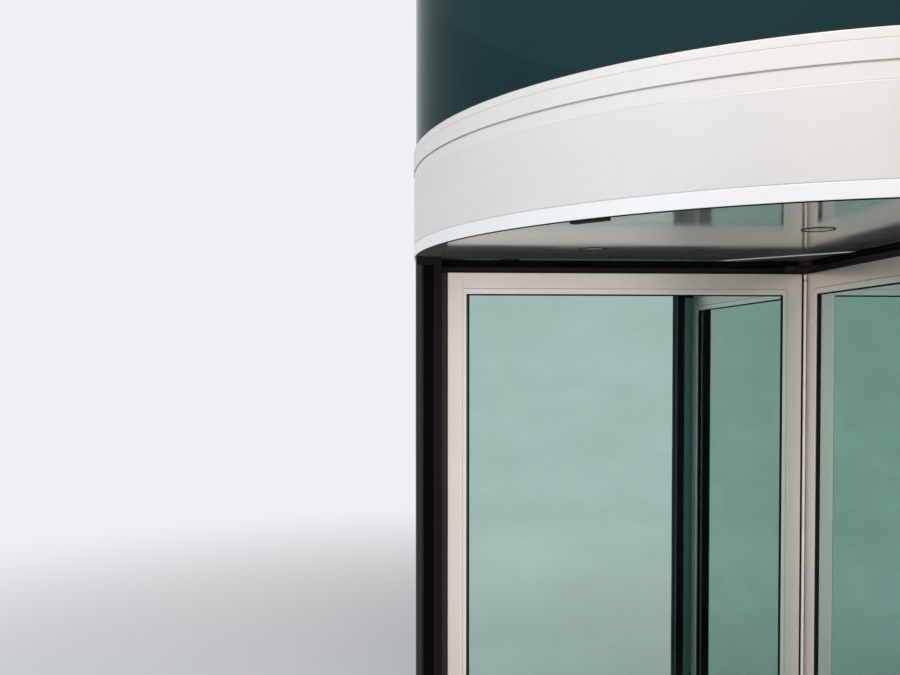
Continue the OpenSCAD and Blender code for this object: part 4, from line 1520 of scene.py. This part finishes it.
class DOOR_OT_stage(Piece, bpy.types.Operator):
    """Pale floor, soft light and the camera"""

    bl_idname = "door.stage"
    bl_label = "Stage"

    def execute(self, context):
        stage = context.scene.door_stage
        self.floor(stage)
        self.world(stage)
        self.lamps(stage)
        self.camera(stage)
        context.scene.view_settings.view_transform = "Standard"
        return {"FINISHED"}

    def floor(self, stage):
        """A wide disc just below the object that turns into the backdrop with distance."""
        solid = bmesh.new()
        radius, sides = 60.0, 96
        under = Matrix.Translation((0, 0, -0.5 * MM))
        bmesh.ops.create_circle(solid, cap_ends=True, radius=radius, segments=sides, matrix=under)
        f = Finish("stage_floor", Specular_IOR_Level=0.15)
        cloud = f.noise(0.6, detail=3.0)
        colour = tuple(stage.floor)
        material = f.paint(f.mix(cloud, shade(colour, 0.985), shade(colour, 1.01)), 0.75)
        distance = f.add("ShaderNodeVectorMath", {"operation": "LENGTH"}, {0: f.place}, out=1)
        far = distance.ramp(stage.fade_start, stage.fade_end) * self.seen(f)
        haze = f.add("ShaderNodeEmission", None, {"Color": (*stage.backdrop, 1.0), "Strength": 1.0})
        blend = f.add("ShaderNodeMixShader", None, {0: far, 2: haze})
        f.tree.links.new(f.shader.outputs[0], blend.node.inputs[1])
        f.tree.links.new(blend.socket, f.output.inputs["Surface"])
        show("stage_floor", made_mesh(solid, "stage_floor", [material]))

    def seen(self, tree):
        """Whether a ray shows the background, straight or by way of glass and metal."""
        path = tree.add("ShaderNodeLightPath")
        mirrored = path["Is Glossy Ray"] + path["Is Transmission Ray"]
        clear = tree.math("ADD", path["Is Camera Ray"], mirrored, clamp=True)
        return clear * (1.0 - tree.math("MINIMUM", path["Diffuse Depth"], 1.0))

    def world(self, stage):
        """A plain light from all round, seen as the pale backdrop."""
        world = bpy.data.worlds.new("studio")
        world.use_nodes = True
        bpy.context.scene.world = world
        tree = Tree(world.node_tree)
        tree.tree.nodes.clear()
        seen = self.seen(tree)
        light = {"Color": (0.97, 0.985, 1.0, 1.0), "Strength": stage.ambient}
        plain = tree.add("ShaderNodeBackground", None, light)
        pale = tree.add("ShaderNodeBackground", None, {"Color": (*stage.backdrop, 1.0), "Strength": 1.0})
        both = tree.add("ShaderNodeMixShader", None, {0: seen, 1: plain, 2: pale})
        tree.add("ShaderNodeOutputWorld", None, {"Surface": both})

    def lamps(self, stage):
        """Four square lamps aimed at the middle of the door. Glass and metal show only the top one."""
        target = Vector((0, 0, 1.6))
        lamps = (
            ("left", (-1.6, -6.2, 3.4), stage.left_power, (0.60, 0.77, 1.0), 3.0),
            ("right", (4.4, -5.2, 2.6), stage.right_power, (1.0, 0.86, 0.72), 3.4),
            ("rear", (1.1, 5.9, 3.4), stage.rear_power, (0.95, 0.97, 1.0), 3.7),
            ("top", (1.0, -3.2, 7.0), stage.top_power, (1.0, 0.985, 0.96), 3.6),
        )
        for name, spot, watts, colour, size in lamps:
            light = bpy.data.lights.new("lamp_" + name, "AREA")
            light.energy, light.color, light.size = watts, colour, size
            lamp = show("lamp_" + name, light)
            lamp.location = spot
            lamp.visible_glossy = lamp.visible_transmission = name == "top"
            lamp.rotation_euler = (target - Vector(spot)).to_track_quat("-Z", "Y").to_euler()

    def camera(self, stage):
        data = bpy.data.cameras.new("camera")
        data.sensor_width, data.lens, data.shift_y = 36.0, stage.lens, stage.shift
        data.clip_start, data.clip_end = 0.05, 200.0
        level = math.pi / 2
        turn = Matrix.Identity(4)
        for amount, axis in ((stage.turn, "Z"), (level + stage.pitch, "X"), (stage.roll, "Z")):
            turn = turn @ Matrix.Rotation(amount, 4, axis)
        camera = show("camera", data)
        camera.matrix_world = Matrix.Translation(stage.eye) @ turn
        bpy.context.scene.camera = camera


OPERATORS = (
    DOOR_OT_floor, DOOR_OT_posts, DOOR_OT_side_walls, DOOR_OT_canopy, DOOR_OT_ceiling, DOOR_OT_upper_glass,
    DOOR_OT_centre, DOOR_OT_wings, DOOR_OT_seals, DOOR_OT_stage,
)
GROUPS = {"door_sizes": DoorSizes, "door_finishes": DoorFinishes, "door_stage": DoorStage}


class DOOR_PT_panel(bpy.types.Panel):
    """The door's pieces in the 3D view's sidebar"""

    bl_idname = "DOOR_PT_panel"
    bl_label = "Revolving door"
    bl_space_type = "VIEW_3D"
    bl_region_type = "UI"
    bl_category = "Revolving door"

    def draw(self, context):
        for operator in OPERATORS:
            self.layout.operator(operator.bl_idname)
        for name, group in GROUPS.items():
            box = self.layout.box()
            for key in group.__annotations__:
                box.prop(getattr(context.scene, name), key)


def register():
    for kind in (*GROUPS.values(), *OPERATORS, DOOR_PT_panel):
        bpy.utils.register_class(kind)
    for name, group in GROUPS.items():
        setattr(bpy.types.Scene, name, PointerProperty(type=group))


def unregister():
    for name in GROUPS:
        delattr(bpy.types.Scene, name)
    for kind in (DOOR_PT_panel, *OPERATORS, *GROUPS.values()):
        bpy.utils.unregister_class(kind)


def main():
    register()
    for operator in OPERATORS:
        getattr(bpy.ops.door, operator.bl_idname.split(".")[1])()


if __name__ == "__main__":
    main()
